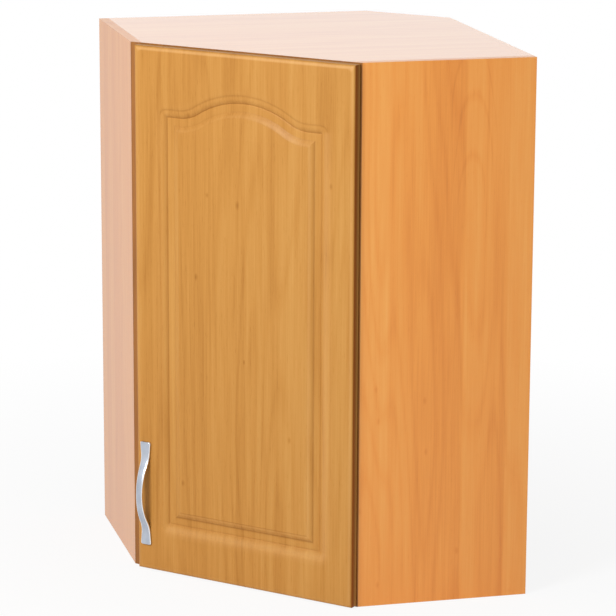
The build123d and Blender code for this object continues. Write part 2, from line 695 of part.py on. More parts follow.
def seat_to_front(x, y):
    """A point off the panel's inner face, in the front's frame."""
    point = FRONT.to_local_coords(PLATE_SEAT.from_local_coords((x, y, 0)))
    return (point.X, point.Y)


def arm_outline():
    """Side view of the arm: over the plate, along the panel's edge and out to the inner pivot."""
    height = PLATE_HEIGHT + ARM_WEB - ARM_ROOT_RADIUS
    rear = disc_at(seat_to_front(PLATE_BACK - ARM_ROOT_RADIUS, height), ARM_ROOT_RADIUS)
    bend = disc_at(seat_to_front(-PLATE_LEAD, height), ARM_ROOT_RADIUS)
    outer, inner = [disc_at(pivot, ARM_END_RADIUS) for pivot in (OUTER_ARM_PIVOT, INNER_ARM_PIVOT)]
    stretches = [make_hull(a.edges() + b.edges()) for a, b in ((rear, bend), (bend, outer), (outer, inner))]
    return stretches[0] + stretches[1:]


def arm_screw_places(shape):
    return [Pos(place, 0, 0) * shape for place in ARM_SCREW_PLACES]


def hinge_arm():
    """Folded arm: two cheeks, a web over the plate, the pivots at its end."""
    shape = arm_outline()
    for pivot in (OUTER_ARM_PIVOT, INNER_ARM_PIVOT):
        shape -= disc_at(pivot, PIVOT_RADIUS)
    web_end = PLATE_BACK - ARM_ROOT_RADIUS
    web = span(-PLATE_LEAD, web_end, PLATE_HEIGHT, PLATE_HEIGHT + ARM_WEB, -ARM_NEAR, ARM_NEAR)
    web -= arm_screw_places(Rot(0, 0, 90) * rod(ARM_SCREW_RADIUS + FIT, 0, PLATE_HEIGHT + ARM_WEB))
    return Part() + (layer(shape, ARM_NEAR, ARM_FAR) + [FRONT.to_local_coords(PLATE_SEAT * web)])


def hinge_plate():
    """Cross-shaped mounting plate with its raised middle."""
    wing = 6.5
    tall = PLATE_SCREW_HALF + wing
    base = span(-wing, wing, 0, PLATE_BASE, -tall, tall)
    base = fillet(base.edges().filter_by(Axis.Y), 4.0)
    middle = span(-PLATE_LEAD, PLATE_BACK, 0, PLATE_HEIGHT, -ARM_NEAR + 0.3, ARM_NEAR - 0.3)
    middle = chamfer(middle.edges().filter_by(Axis.Z).group_by(Axis.Y)[-1], 2.0)
    plate = base + middle
    for side in (-PLATE_SCREW_HALF, PLATE_SCREW_HALF):
        plate -= Pos(0, 0, side) * Rot(0, 0, 90) * rod(SMALL_HOLE_RADIUS, 0, PLATE_BASE)
    setting_hole = Rot(0, 0, 90) * rod(ARM_SCREW_RADIUS, PLATE_HEIGHT - ARM_SCREW_DEPTH, PLATE_HEIGHT)
    plate -= arm_screw_places(setting_hole)
    return FRONT.to_local_coords(PLATE_SEAT * plate)


def plate_screws():
    screw = Rot(0, 0, 90) * (
        rod(SMALL_HOLE_RADIUS - FIT, -EURO_SCREW_LENGTH, PLATE_BASE)
        + rod(SCREW_HEAD_RADIUS, PLATE_BASE, PLATE_BASE + SCREW_HEAD)
    )
    sides = (-PLATE_SCREW_HALF, PLATE_SCREW_HALF)
    return [FRONT.to_local_coords(PLATE_SEAT * Pos(0, 0, side) * screw) for side in sides]


def arm_screws():
    top = PLATE_HEIGHT + ARM_WEB
    screw = Rot(0, 0, 90) * (
        rod(ARM_SCREW_RADIUS - FIT, PLATE_HEIGHT - ARM_SCREW_DEPTH, top)
        + rod(SCREW_HEAD_RADIUS, top, top + SCREW_HEAD)
    )
    return [FRONT.to_local_coords(PLATE_SEAT * piece) for piece in arm_screw_places(screw)]


def save_hinges():
    builders = {
        "hinge_cup": [hinge_cup()],
        "outer_link": [outer_link()],
        "inner_link": [inner_link()],
        "hinge_arm": [hinge_arm()],
        "hinge_plate": [hinge_plate()],
    }
    for side, z in HINGES.items():
        for name, shapes in builders.items():
            save(f"{side}_{name}", [hinge_place(z) * shape for shape in shapes])
    groups = {
        "hinge_cup_pins": cup_pins(),
        "hinge_arm_pins": arm_pins(),
        "cup_screws": cup_screws(),
        "plate_screws": plate_screws(),
        "arm_screws": arm_screws(),
    }
    for name, shapes in groups.items():
        save(name, [hinge_place(z) * shape for z in HINGES.values() for shape in shapes])


# ---- cabinet hangers, left wing; y runs to the wall ----

def hanger_housing():
    """Case with the hook's slot, screwed to the side panel behind the top."""
    front, back = BACK_FRONT - HANGER_DEPTH, BACK_FRONT
    cut = HANGER_CHAMFER
    outline = [
        (front, HANGER_BOTTOM + cut), (front, HANGER_TOP - cut), (front + cut, HANGER_TOP),
        (back, HANGER_TOP), (back, HANGER_BOTTOM), (front + cut, HANGER_BOTTOM),
    ]
    case = Plane.YZ * make_face(Polyline(*outline, close=True))
    case = Pos(-INNER, 0, 0) * extrude(case, HANGER_WIDTH)
    slot = (-INNER + HOOK_INSET - HOOK_THICKNESS / 2, -INNER + HOOK_INSET + HOOK_THICKNESS / 2)
    return case - span(*slot, front + cut, back, LIP_TOP - HOOK_HEIGHT, HOOK_TOP + 1)


def hanger_hook():
    """Steel hook that reaches through the back and over the wall plate's lip."""
    inside = BACK_FRONT - HANGER_DEPTH + HANGER_CHAMFER + 1
    lip_wall = HALF - WALL_PLATE_STEP
    tip, root = HALF - 2.0, lip_wall + 1.0
    outline = [
        (inside, LIP_TOP - 4), (inside, HOOK_TOP), (tip, HOOK_TOP), (tip, LIP_TOP - 10),
        (root, LIP_TOP - 10), (root, LIP_TOP), (BACK_FRONT - 2, LIP_TOP), (BACK_FRONT - 6, LIP_TOP - 4),
    ]
    face = Plane.YZ * make_face(Polyline(*outline, close=True))
    return Pos(-INNER + HOOK_INSET, 0, 0) * extrude(face, HOOK_THICKNESS / 2, both=True)


def hanger_screws():
    """The two setting screws on the housing's front."""
    face = BACK_FRONT - HANGER_DEPTH
    shift = HANGER_HEIGHT / 2 - 2 * HANGER_CHAMFER
    middle = (HANGER_TOP + HANGER_BOTTOM) / 2
    screw = Rot(0, 0, 90) * rod(SCREW_HEAD_RADIUS, -SCREW_HEAD, 0)
    return [Pos(-INNER + HOOK_INSET, face, middle + side * shift) * screw for side in (-1, 1)]


def wall_plate():
    """Steel plate screwed to the wall, with the lip that carries the hook."""
    wall, lip = HALF, HALF - WALL_PLATE_STEP - WALL_PLATE
    step = LIP_TOP - WALL_PLATE_LIP
    outline = [
        (wall, step - WALL_PLATE_WEB), (wall, step), (lip + WALL_PLATE, step), (lip + WALL_PLATE, LIP_TOP),
        (lip, LIP_TOP), (lip, step - WALL_PLATE), (wall - WALL_PLATE, step - WALL_PLATE),
        (wall - WALL_PLATE, step - WALL_PLATE_WEB),
    ]
    face = Plane.YZ * make_face(Polyline(*outline, close=True))
    plate = Pos(-INNER + 1, 0, 0) * extrude(face, WALL_PLATE_WIDTH)
    middle = -INNER + 1 + WALL_PLATE_WIDTH / 2
    for side in (-WALL_HOLE_HALF, WALL_HOLE_HALF):
        hole = Rot(0, 0, 90) * rod(WALL_HOLE_RADIUS, -WALL_PLATE, 0)
        plate -= Pos(middle + side, HALF, WALL_HOLE_Z) * hole
    return plate


def save_wings(name, shape):
    """The same node for the left and the right wing."""
    save(f"left_{name}", [shape])
    save(f"right_{name}", [mirrored(shape)])


# ---- the whole cabinet ----

os.makedirs("parts", exist_ok=True)
left_side, right_side = side_panels()
save("left_side", [left_side])
save("right_side", [right_side])
save("bottom_panel", [deck(0)])
save("top_panel", [deck(TOP_Z)])
save("corner_post", [corner_post()])
save_wings("back_panel", back_panel())
save("front_edge_bands", front_edge_bands())
for name, bottom in zip(("lower_shelf", "upper_shelf"), SHELF_HEIGHTS):
    save(name, [shelf(bottom) - shelf_front(bottom)])
save("shelf_edge_bands", [shelf(bottom) & shelf_front(bottom) for bottom in SHELF_HEIGHTS])
save("shelf_pins", shelf_pins())
save("cam_locks", place_cams(cam_lock()))
save("cam_bolts", place_cams(cam_bolt()))
save("wood_dowels", place_dowels(dowel()))
save("door_panel", [door_panel()])
save("handle", [handle()])
save("handle_screws", handle_screws())
save("door_bumpers", door_bumpers())
save_hinges()
save_wings("hanger_housing", hanger_housing())
save_wings("hanger_hook", hanger_hook())
save_wings("wall_plate", wall_plate())
save("hanger_screws", with_mirror(hanger_screws()))
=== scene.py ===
# %% [markdown]
# A corner wall cabinet, dressed over its engineering model. The model gives every panel, hinge and
# screw its true place in metres, with z up and the corner of the room at +x and +y. This lesson
# loads it, sets up the camera and the light, and then gives each surface its finish. Only the door
# leaf, the handle and the screws are rebuilt as finer meshes; the rest only gets materials.

# %% Load the engineering model
import bmesh
import bpy
import json
import math
from mathutils import Matrix, Vector
from mathutils.geometry import tessellate_polygon

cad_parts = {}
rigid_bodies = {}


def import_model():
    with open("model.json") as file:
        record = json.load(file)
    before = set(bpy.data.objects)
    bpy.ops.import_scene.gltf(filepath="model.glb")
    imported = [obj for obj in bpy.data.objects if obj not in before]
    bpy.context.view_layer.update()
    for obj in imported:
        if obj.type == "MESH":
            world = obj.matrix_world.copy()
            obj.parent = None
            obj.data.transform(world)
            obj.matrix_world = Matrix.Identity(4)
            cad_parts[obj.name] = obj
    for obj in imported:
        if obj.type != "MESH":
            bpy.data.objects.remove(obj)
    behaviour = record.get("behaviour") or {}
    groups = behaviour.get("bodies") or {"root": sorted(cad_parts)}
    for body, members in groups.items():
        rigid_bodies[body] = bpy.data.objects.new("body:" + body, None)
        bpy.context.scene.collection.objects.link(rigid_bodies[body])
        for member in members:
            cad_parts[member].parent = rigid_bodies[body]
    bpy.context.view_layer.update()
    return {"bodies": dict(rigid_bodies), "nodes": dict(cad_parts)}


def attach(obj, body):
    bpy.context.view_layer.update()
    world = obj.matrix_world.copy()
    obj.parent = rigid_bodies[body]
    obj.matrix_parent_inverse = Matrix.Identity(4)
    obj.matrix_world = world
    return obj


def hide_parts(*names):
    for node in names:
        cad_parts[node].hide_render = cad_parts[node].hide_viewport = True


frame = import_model()
scene = bpy.context.scene


def place_object(name, data):
    """A new object, shown in the scene."""
    thing = bpy.data.objects.new(name, data)
    scene.collection.objects.link(thing)
    return thing


print("bodies:", ", ".join(sorted(frame["bodies"])))
print("nodes:", len(frame["nodes"]))

# %% [markdown]
# The camera. A product photograph like this one is taken from far away with a long lens, so that
# the upright edges stay nearly parallel. The place and the turn below come from matching the
# cabinet's corners. A camera looks along its own -z, so its matrix is built from three directions:
# right, up and back.

# %% Camera
CAMERA_PLACE = Vector((-1.2185, -4.8164, 1.6018))
CAMERA_HEADING = 0.2479      # radians from +y towards +x
CAMERA_PITCH = 0.2305        # downwards
CAMERA_ROLL = -0.0044
CAMERA_LENS = 175.25         # in millimetres
SENSOR_WIDTH = 36            # in millimetres


def camera_axes(heading, pitch, roll):
    """Right, up and back of a camera that looks along the heading, tilted down."""
    forward = Vector((
        math.sin(heading) * math.cos(pitch), math.cos(heading) * math.cos(pitch), -math.sin(pitch)
    ))
    right = Vector((math.cos(heading), -math.sin(heading), 0))
    down = forward.cross(right)
    turned_right = math.cos(roll) * right + math.sin(roll) * down
    turned_down = math.cos(roll) * down - math.sin(roll) * right
    return turned_right, -turned_down, -forward


camera_data = bpy.data.cameras.new("photo_camera")
camera_data.lens = CAMERA_LENS
camera_data.sensor_width = SENSOR_WIDTH
camera_data.clip_end = 100
camera = place_object("photo_camera", camera_data)
axes = camera_axes(CAMERA_HEADING, CAMERA_PITCH, CAMERA_ROLL)
camera.matrix_world = Matrix.Translation(CAMERA_PLACE) @ Matrix(axes).transposed().to_4x4()
scene.camera = camera
scene.view_settings.view_transform = "Standard"
print("camera stands", round(CAMERA_PLACE.length, 2), "m from the cabinet's foot")

# %% [markdown]
# Finishes are built from shader nodes. One function adds a node together with everything that feeds
# it, and a small class holds one material and adds a sum or a noise in one call. Patterns read
# Object coordinates: they are metres in the engineering model's frame, so a grain line stays on its
# board.

# %% Helpers for nodes
def empty_tree(owner):
    """The node tree of a material or a world, cleared."""
    owner.use_nodes = True
    owner.node_tree.nodes.clear()
    return owner.node_tree


def feed(tree, socket, value):
    """Set an input: to a plain value, or to another node's output."""
    if isinstance(value, bpy.types.NodeSocket):
        tree.links.new(value, socket)
    else:
        socket.default_value = value


def add_node(tree, kind, inputs=None, result=0, **settings):
    """A new node with its settings and inputs; returns one output, if it has any."""
    node = tree.nodes.new(kind)
    for name, value in settings.items():
        setattr(node, name, value)
    for name, value in (inputs or {}).items():
        feed(tree, node.inputs[name], value)
    return node.outputs[result] if node.outputs else None


# %% A helper for finishes
def tone(red, green, blue):
    """A screen colour, 0 to 255, turned into the linear values that light needs."""
    def linear(value):
        share = value / 255
        return share / 12.92 if share <= 0.04045 else ((share + 0.055) / 1.055) ** 2.4
    return (linear(red), linear(green), linear(blue), 1.0)


class Finish:
    """One material, written step by step. Most methods return the socket with their result."""

    def __init__(self, name, roughness=0.4, metallic=0.0):
        self.material = bpy.data.materials.new(name)
        self.tree = empty_tree(self.material)
        self.shader = self.tree.nodes.new("ShaderNodeBsdfPrincipled")
        self.add("ShaderNodeOutputMaterial", {"Surface": self.shader.outputs["BSDF"]})
        self.set("Roughness", roughness)
        self.set("Metallic", metallic)

    def add(self, kind, inputs, result=0, **settings):
        return add_node(self.tree, kind, inputs, result, **settings)

    def set(self, name, value):
        """Give one input of the shader a value or a pattern."""
        feed(self.tree, self.shader.inputs[name], value)

    def math(self, operation, *values):
        return self.add("ShaderNodeMath", dict(enumerate(values)), operation=operation)

    def add_centred(self, value, layer, amount):
        """The value with some of a layer added; a layer of 0.5 changes nothing."""
        return self.math("MULTIPLY_ADD", self.math("SUBTRACT", layer, 0.5), amount, value)

    def place(self, turn=(0, 0, 0)):
        """Object coordinates, turned so that z runs along the grain."""
        point = self.add("ShaderNodeTexCoord", {}, "Object")
        return self.add("ShaderNodeMapping", {"Vector": point, "Rotation": turn})

    def split(self, point):
        """The x, y and z of a point."""
        return self.add("ShaderNodeSeparateXYZ", {0: point}).node.outputs

    def stretch(self, point, across, deep, along):
        """The point, with each of its directions scaled."""
        scales = {0: point, 1: (across, deep, along)}
        return self.add("ShaderNodeVectorMath", scales, operation="MULTIPLY")

    def noise(self, point, detail=2.0, roughness=0.5):
        inputs = {"Vector": point, "Scale": 1.0, "Detail": detail, "Roughness": roughness}
        return self.add("ShaderNodeTexNoise", inputs)

    def between(self, value, low, high, at_low=0.0, at_high=1.0):
        """The value, read on a scale from low to high."""
        return self.add("ShaderNodeMapRange", dict(enumerate((value, low, high, at_low, at_high))))

    def ramp(self, value, stops):
        colour = self.add("ShaderNodeValToRGB", {"Fac": value}, "Color")
        elements = colour.node.color_ramp.elements
        while len(elements) < len(stops):
            elements.new(0.5)
        for element, (position, stop_colour) in zip(elements, stops):
            element.position = position
            element.color = stop_colour
        return colour

    def mix(self, share, first, second):
        return self.add("ShaderNodeMix", {0: share, 6: first, 7: second}, 2, data_type="RGBA")

    def spot(self, point, centre, size):
        """1 at the centre of a soft spot, 0 outside it."""
        apart = self.add("ShaderNodeVectorMath", {0: point, 1: centre}, operation="SUBTRACT")
        scaled = self.stretch(apart, *(1 / side for side in size))
        length = self.add("ShaderNodeVectorMath", {0: scaled}, "Value", operation="LENGTH")
        return self.between(length, 1.0, 0.2)

    def relief(self, height, depth):
        self.set("Normal", self.add("ShaderNodeBump", {"Height": height, "Distance": depth}))

    def colour(self, value):
        self.set("Base Color", value)

    def coat(self, weight, ior, roughness):
        """A clear layer: it hardly shows from straight on and pales the surface at a flat angle."""
        self.set("Coat Weight", weight)
        self.set("Coat IOR", ior)
        self.set("Coat Roughness", roughness)


print("finish helper ready")

# %% [markdown]
# The room. The photograph has a pure white ground. A white world would flood the cabinet with
# light, so the world is dim for surfaces and white only for what the camera sees directly or in a
# gloss. The floor does the same. Close to the cabinet it keeps a share of its own shading, so that
# the soft shadow stays visible; further away it turns fully white and has no horizon.

# %% White room
WORLD_LIGHT = 0.42
NEAR_SHARE = 0.88            # of full white that the floor shows close to the cabinet
NEAR, FAR = 0.4, 1.5         # metres from the middle; beyond FAR the floor is fully white
FLOOR_HALF = 20
FLOOR_DROP = 0.0006          # keeps the floor off the plane of the cabinet's foot
FLOOR_GREY = 0.86


def seen_rays(tree):
    """1 for rays that show the room: straight to the camera, in a gloss or through glass."""
    kinds = add_node(tree, "ShaderNodeLightPath").node.outputs
    seen = kinds["Is Camera Ray"]
    for kind in ("Is Glossy Ray", "Is Transmission Ray"):
        seen = add_node(tree, "ShaderNodeMath", {0: seen, 1: kinds[kind]}, operation="MAXIMUM")
    return seen


def show_blend(tree, output, share, first, second):
    """End a tree in a blend of two shaders."""
    blend = add_node(tree, "ShaderNodeMixShader", {0: share, 1: first, 2: second})
    add_node(tree, output, {"Surface": blend})


world = bpy.data.worlds.new("studio")
scene.world = world
tree = empty_tree(world)
dim, white = [
    add_node(tree, "ShaderNodeBackground", {"Color": (1, 1, 1, 1), "Strength": strength})
    for strength in (WORLD_LIGHT, 1.0)
]
show_blend(tree, "ShaderNodeOutputWorld", seen_rays(tree), dim, white)

floor_mesh = bpy.data.meshes.new("studio_floor")
corners = [(-FLOOR_HALF, -FLOOR_HALF), (FLOOR_HALF, -FLOOR_HALF)]
corners += [(FLOOR_HALF, FLOOR_HALF), (-FLOOR_HALF, FLOOR_HALF)]
floor_mesh.from_pydata([(x, y, -FLOOR_DROP) for x, y in corners], [], [(0, 1, 2, 3)])
studio_floor = place_object("studio_floor", floor_mesh)
floor_paint = bpy.data.materials.new("studio_floor")
tree = empty_tree(floor_paint)
paint = add_node(tree, "ShaderNodeBsdfDiffuse", {"Color": (FLOOR_GREY, FLOOR_GREY, FLOOR_GREY, 1)})
glow = add_node(tree, "ShaderNodeEmission", {"Strength": 1.0})
floor_point = add_node(tree, "ShaderNodeTexCoord", None, "Object")
from_middle = add_node(tree, "ShaderNodeVectorMath", {0: floor_point}, "Value", operation="LENGTH")
whiteness = add_node(tree, "ShaderNodeMapRange", {
    "Value": from_middle, "From Min": NEAR, "From Max": FAR, "To Min": NEAR_SHARE, "To Max": 1.0,
})
share = add_node(tree, "ShaderNodeMath", {0: seen_rays(tree), 1: whiteness}, operation="MULTIPLY")
show_blend(tree, "ShaderNodeOutputMaterial", share, paint, glow)
floor_mesh.materials.append(floor_paint)
print("world light", WORLD_LIGHT, "and a floor of", 2 * FLOOR_HALF, "m")

# %% [markdown]
# The lamps. The key lamp stands left of the camera, above the door and nearly straight before it.
# It lights both side panels and leaves the door's right edge dark; painted shade on that edge of
# the leaf makes it darker still. The weak one behind the cabinet only shines along the top and the
# left side. The top and the left side are pale in the photograph because their laminate mirrors the
# white room at a flat angle. The clear coat below is for that.

# %% Lamps
def soft_lamp(name, place, target, width, height, power):
    data = bpy.data.lights.new(name, "AREA")
    data.shape = "RECTANGLE"
    data.size, data.size_y = width, height
    data.energy = power
    lamp = place_object(name, data)
    place, target = Vector(place), Vector(target)
    lamp.rotation_euler = (target - place).to_track_quat("-Z", "Y").to_euler()
    lamp.location = place
    lamp.visible_camera = False
    return lamp


CABINET_MIDDLE = (0.0, -0.05, 0.45)
key_lamp = soft_lamp("key_lamp", (-2.27, -1.82, 1.95), CABINET_MIDDLE, 0.9, 0.9, 74)
back_lamp = soft_lamp("back_lamp", (0.9, 3.2, 1.5), CABINET_MIDDLE, 3.0, 2.0, 3)
print("lamps:", key_lamp.name, back_lamp.name)

# %% [markdown]
# Alder laminate. The cabinet's boards are chipboard under a printed alder pattern: broad upright
# bands of slightly different tone, fine fibres, long growth lines, short pores, a few pin knots
# and, high up, faint arches where the print shows a board cut near its heart. An image would do,
# but the part should carry no picture, so every layer is a noise or a formula, added into one
# number that a colour ramp turns into wood. The number 0.5 is the plain middle tone. A stretch says
# how many cells a noise has in a metre: across the grain, into the board and along the grain.

# %% Wood layers
def off_half(finish, value):
    """How far a value's fraction is from one half: most, 0.5, at the whole numbers."""
    turns = finish.math("FRACT", value)
    return finish.math("ABSOLUTE", finish.math("SUBTRACT", turns, 0.5))


def growth_lines(finish, point, count=14):
    """Lines of equal height in a stretched noise: long flames, as a saw lays them open."""
    hills = finish.math("MULTIPLY", finish.noise(finish.stretch(point, 9, 9, 0.75), 1.5), count)
    return finish.between(off_half(finish, hills), 0.22, 0.5)


def wood_layers(finish, point, broad=0.3, streaks=0.3, fibres=0.22, pores=0.25, flames=0.09):
    """Layers that all woods here share."""
    value = 0.5
    for layer, amount in (
        (finish.noise(finish.stretch(point, 11, 11, 0.7), 2), broad),
        (finish.noise(finish.stretch(point, 75, 75, 1.3), 3, 0.6), streaks),
        (finish.noise(finish.stretch(point, 420, 420, 9), 2), fibres),
    ):
        value = finish.add_centred(value, layer, amount * 2)
    value = finish.math("MULTIPLY_ADD", growth_lines(finish, point), -flames, value)
    value = finish.math("ADD", value, flames * 0.3)
    dashes = finish.between(finish.noise(finish.stretch(point, 900, 900, 55), 1), 0.64, 0.76)
    return finish.math("MULTIPLY_ADD", dashes, -pores, value)


def arches(finish, across, along, middle, top, spacing, steepness, width):
    """Nested arches: lines of equal value of a parabola, kept within a width of the middle."""
    offset = finish.math("SUBTRACT", across, middle)
    square = finish.math("MULTIPLY", offset, offset)
    height = finish.math("MULTIPLY_ADD", square, steepness, along)
    turns = finish.math("DIVIDE", finish.math("SUBTRACT", height, top), spacing)
    arch = finish.between(off_half(finish, turns), 0.36, 0.5)
    inside = finish.between(finish.math("ABSOLUTE", offset), width, width * 0.6)
    return finish.math("MULTIPLY", arch, inside)


def board_bands(finish, across, point, width, stops, wander):
    """Upright bands of tone, whose borders wander a little."""
    drift = finish.noise(finish.stretch(point, 9, 9, 1.6), 2)
    moved = finish.add_centred(across, drift, wander * 2)
    grey = [(position, (level, level, level, 1)) for position, level in stops]
    return finish.ramp(finish.math("DIVIDE", moved, width), grey)


def pin_knots(finish, value, across, height, knots, amount):
    """The value, darkened at each knot, which is given as (across, height, width, length)."""
    flat = finish.add("ShaderNodeCombineXYZ", {0: across, 1: 0.0, 2: height})
    for knot_across, knot_height, wide, length in knots:
        knot = finish.spot(flat, (knot_across, 0, knot_height), (wide, 1.0, length))
        value = finish.math("MULTIPLY_ADD", knot, -amount, value)
    return value


def speckled_chipboard(finish, point):
    """The raw core: pale chips of many sizes."""
    cells = finish.stretch(point, 420, 420, 420)
    chips = finish.add("ShaderNodeTexVoronoi", {"Vector": cells}, "Color")
    brown = [(0.0, tone(176, 140, 98)), (0.5, tone(205, 172, 128)), (1.0, tone(226, 199, 158))]
    return finish.ramp(finish.add("ShaderNodeSeparateColor", {"Color": chips}), brown)


print("wood layers ready")

# %% [markdown]
# The upright boards: both sides and the post behind. One number, x + y, runs across the right side
# and across the left side too, because both end at the same corner square. The rear edges and the
# feet of the side boards are cut open, so there the chipboard shows. The left side's outer face has
# painted shade: a darker brown is mixed in, so that it looks less lit than the right side.

# %% Alder on the upright boards
HALF_SIDE = 0.3              # from the middle of the plan to the walls
SKIN = 0.0001                # a point this near to a plane counts as lying on it
UPRIGHT_TONES = [
    (0.0, tone(188, 98, 20)), (0.3, tone(225, 134, 38)), (0.5, tone(237, 151, 56)),
    (0.7, tone(242, 165, 74)), (1.0, tone(247, 187, 108)),
]
# painted shade for the left side's outer face: a darker brown and how much of it is mixed in
PAINTED_SHADE_ALDER = tone(96, 56, 16)
PAINTED_SHADE_SHARE = 0.3
SIDE_BANDS = [
    (0.00, 0.46), (0.035, 0.48), (0.09, 0.46), (0.105, 0.56), (0.31, 0.54), (0.345, 0.46),
    (0.612, 0.40), (0.620, 0.58), (0.72, 0.55), (0.745, 0.44), (0.858, 0.41), (0.866, 0.60),
    (0.96, 0.60), (1.0, 0.45),
]
SIDE_KNOTS = [
    (0.039, 0.367), (0.043, 0.313), (0.121, 0.343), (0.124, 0.257), (0.012, 0.162), (0.044, 0.035),
    (0.179, 0.084),
]
SIDE_ARCHES = {"middle": 0.197, "top": 0.843, "spacing": 0.097, "steepness": 120.0, "width": 0.045}


def on_rear_edge(finish, x, y):
    return finish.math("GREATER_THAN", finish.math("MAXIMUM", x, y), HALF_SIDE - SKIN)


def press_plate(finish, point):
    """The fine relief of the press plate."""
    finish.relief(finish.noise(finish.stretch(point, 700, 700, 22), 2), 0.00004)


def alder_upright():
    finish = Finish("alder_upright", roughness=0.36)
    point = finish.place()
    x, y, z = finish.split(point)
    across = finish.math("ADD", finish.math("ADD", x, y), HALF_SIDE)
    value = wood_layers(finish, point, broad=0.18, streaks=0.2, fibres=0.14, pores=0.12)
    bands = board_bands(finish, across, point, HALF_SIDE, SIDE_BANDS, wander=0.002)
    value = finish.add_centred(value, bands, 0.75)
    wave = finish.noise(finish.stretch(point, 14, 14, 4), 1)
    figure = arches(finish, finish.add_centred(across, wave, 0.03), z, **SIDE_ARCHES)
    only_high = finish.between(z, 0.62, 0.72)
    value = finish.math("MULTIPLY_ADD", finish.math("MULTIPLY", figure, only_high), -0.1, value)
    knots = [(*place, 0.004, 0.008) for place in SIDE_KNOTS]
    value = pin_knots(finish, value, across, z, knots, 0.16)
    # painted shade: the left side's outer face is darkened so that it looks less lit than the right
    # side
    outer_left = finish.math("LESS_THAN", x, SKIN - HALF_SIDE)
    left_painted_shade = finish.math("MULTIPLY", outer_left, PAINTED_SHADE_SHARE)
    wood = finish.mix(left_painted_shade, finish.ramp(value, UPRIGHT_TONES), PAINTED_SHADE_ALDER)
    foot = finish.math("LESS_THAN", z, SKIN)
    cut = finish.math("MAXIMUM", on_rear_edge(finish, x, y), foot)
    finish.colour(finish.mix(cut, wood, speckled_chipboard(finish, point)))
    press_plate(finish, point)
    finish.coat(0.4, 1.6, 0.22)
    return finish.material


# %% Alder on the level boards
def alder_level():
    """Top, bottom and shelves; their grain runs along x."""
    finish = Finish("alder_level", roughness=0.34)
    point = finish.place(turn=(0, math.pi / 2, 0))
    value = wood_layers(
        finish, point, broad=0.2, streaks=0.16, fibres=0.12, pores=0.12, flames=0.06
    )
    wood = finish.ramp(value, UPRIGHT_TONES)
    x, y, _ = finish.split(finish.place())
    rear = on_rear_edge(finish, x, y)
    finish.colour(finish.mix(rear, wood, speckled_chipboard(finish, point)))
    press_plate(finish, point)
    finish.coat(1.0, 1.85, 0.22)
    return finish.material


# %% Edge band
def alder_band():
    """The thin strip glued on the front edges, a little browner than the boards."""
    finish = Finish("alder_band", roughness=0.4)
    value = wood_layers(finish, finish.place(), broad=0.2, streaks=0.3, fibres=0.2, pores=0.15)
    brown = [(0.2, tone(118, 72, 20)), (0.5, tone(147, 91, 29)), (0.8, tone(168, 108, 40))]
    finish.colour(finish.ramp(value, brown))
    return finish.material


upright = alder_upright()
level = alder_level()
band = alder_band()
print("alder finishes:", upright.name, level.name, band.name)

# %% [markdown]
# Door foil. The door is a moulded board wrapped in a foil with its own, yellower alder print. Its
# grain stands upright too, but the door faces the diagonal, so the coordinates are turned by an
# eighth of a circle about z: after the turn, x runs along the door's face. The leaf's mesh carries
# a painted shading value at each point: above 0 the foil gets painted shade, below 0 a painted
# highlight.

# %% Door foil
DOOR_LEFT = -0.201203        # across coordinate of the door's free edge
DOOR_WIDTH = 0.418906
FOIL_TONES = [
    (0.0, tone(134, 84, 34)), (0.3, tone(174, 118, 52)), (0.5, tone(189, 133, 64)),
    (0.7, tone(198, 145, 76)), (1.0, tone(210, 164, 100)),
]
# painted shade: the brown the foil is mixed towards where the painted shading is above 0
SHADED_TONES = [(0.0, tone(112, 70, 14)), (0.5, tone(118, 68, 14)), (0.9, tone(150, 70, 22))]
# painted highlight: the pale colour mixed in where the painted shading is below 0
PAINTED_HIGHLIGHT_FOIL = tone(250, 200, 140)
FOIL_BANDS = [
    (0.00, 0.55), (0.05, 0.42), (0.12, 0.46), (0.17, 0.62), (0.22, 0.45), (0.30, 0.42),
    (0.36, 0.58), (0.44, 0.56), (0.47, 0.40), (0.495, 0.34), (0.52, 0.60), (0.60, 0.50),
    (0.68, 0.44), (0.72, 0.62), (0.80, 0.56), (0.88, 0.46), (0.93, 0.55), (1.0, 0.54),
]
FOIL_KNOTS = [
    (0.2, 0.651, 0.005), (0.142, 0.662, 0.003), (0.376, 0.700, 0.004), (0.120, 0.523, 0.004),
    (0.105, 0.79, 0.004), (0.213, 0.39, 0.003), (0.30, 0.27, 0.004), (0.092, 0.165, 0.004),
]


def door_foil():
    finish = Finish("door_foil", roughness=0.4)
    point = finish.place(turn=(0, 0, math.pi / 4))
    along_front, _, height = finish.split(point)
    across = finish.math("SUBTRACT", along_front, DOOR_LEFT)
    value = wood_layers(finish, point, broad=0.14, streaks=0.22, fibres=0.14, pores=0.14)
    bands = board_bands(finish, across, point, DOOR_WIDTH, FOIL_BANDS, wander=0.004)
    value = finish.add_centred(value, bands, 0.45)
    knots = [(*knot, knot[2] * 1.8) for knot in FOIL_KNOTS]
    value = pin_knots(finish, value, across, height, knots, 0.22)
    # painted light and shade from the leaf's mesh: above 0 it darkens the wood, below 0 it pales it
    shade = finish.add("ShaderNodeAttribute", {}, "Fac", attribute_name="shade")
    value = finish.math("MULTIPLY_ADD", shade, -0.12, value)
    foil_with_painted_shade = finish.mix(shade, finish.ramp(value, FOIL_TONES), finish.ramp(shade, SHADED_TONES))
    painted_highlight_share = finish.math("MAXIMUM", finish.math("MULTIPLY", shade, -1.0), 0.0)
    finish.colour(finish.mix(painted_highlight_share, foil_with_painted_shade, PAINTED_HIGHLIGHT_FOIL))
    # less gloss where the painted shade is deep
    finish.set("Specular IOR Level", finish.between(shade, 0.4, 0.8, 0.15, 0.04))
    finish.relief(finish.noise(finish.stretch(point, 800, 800, 20), 2), 0.00004)
    return finish.material


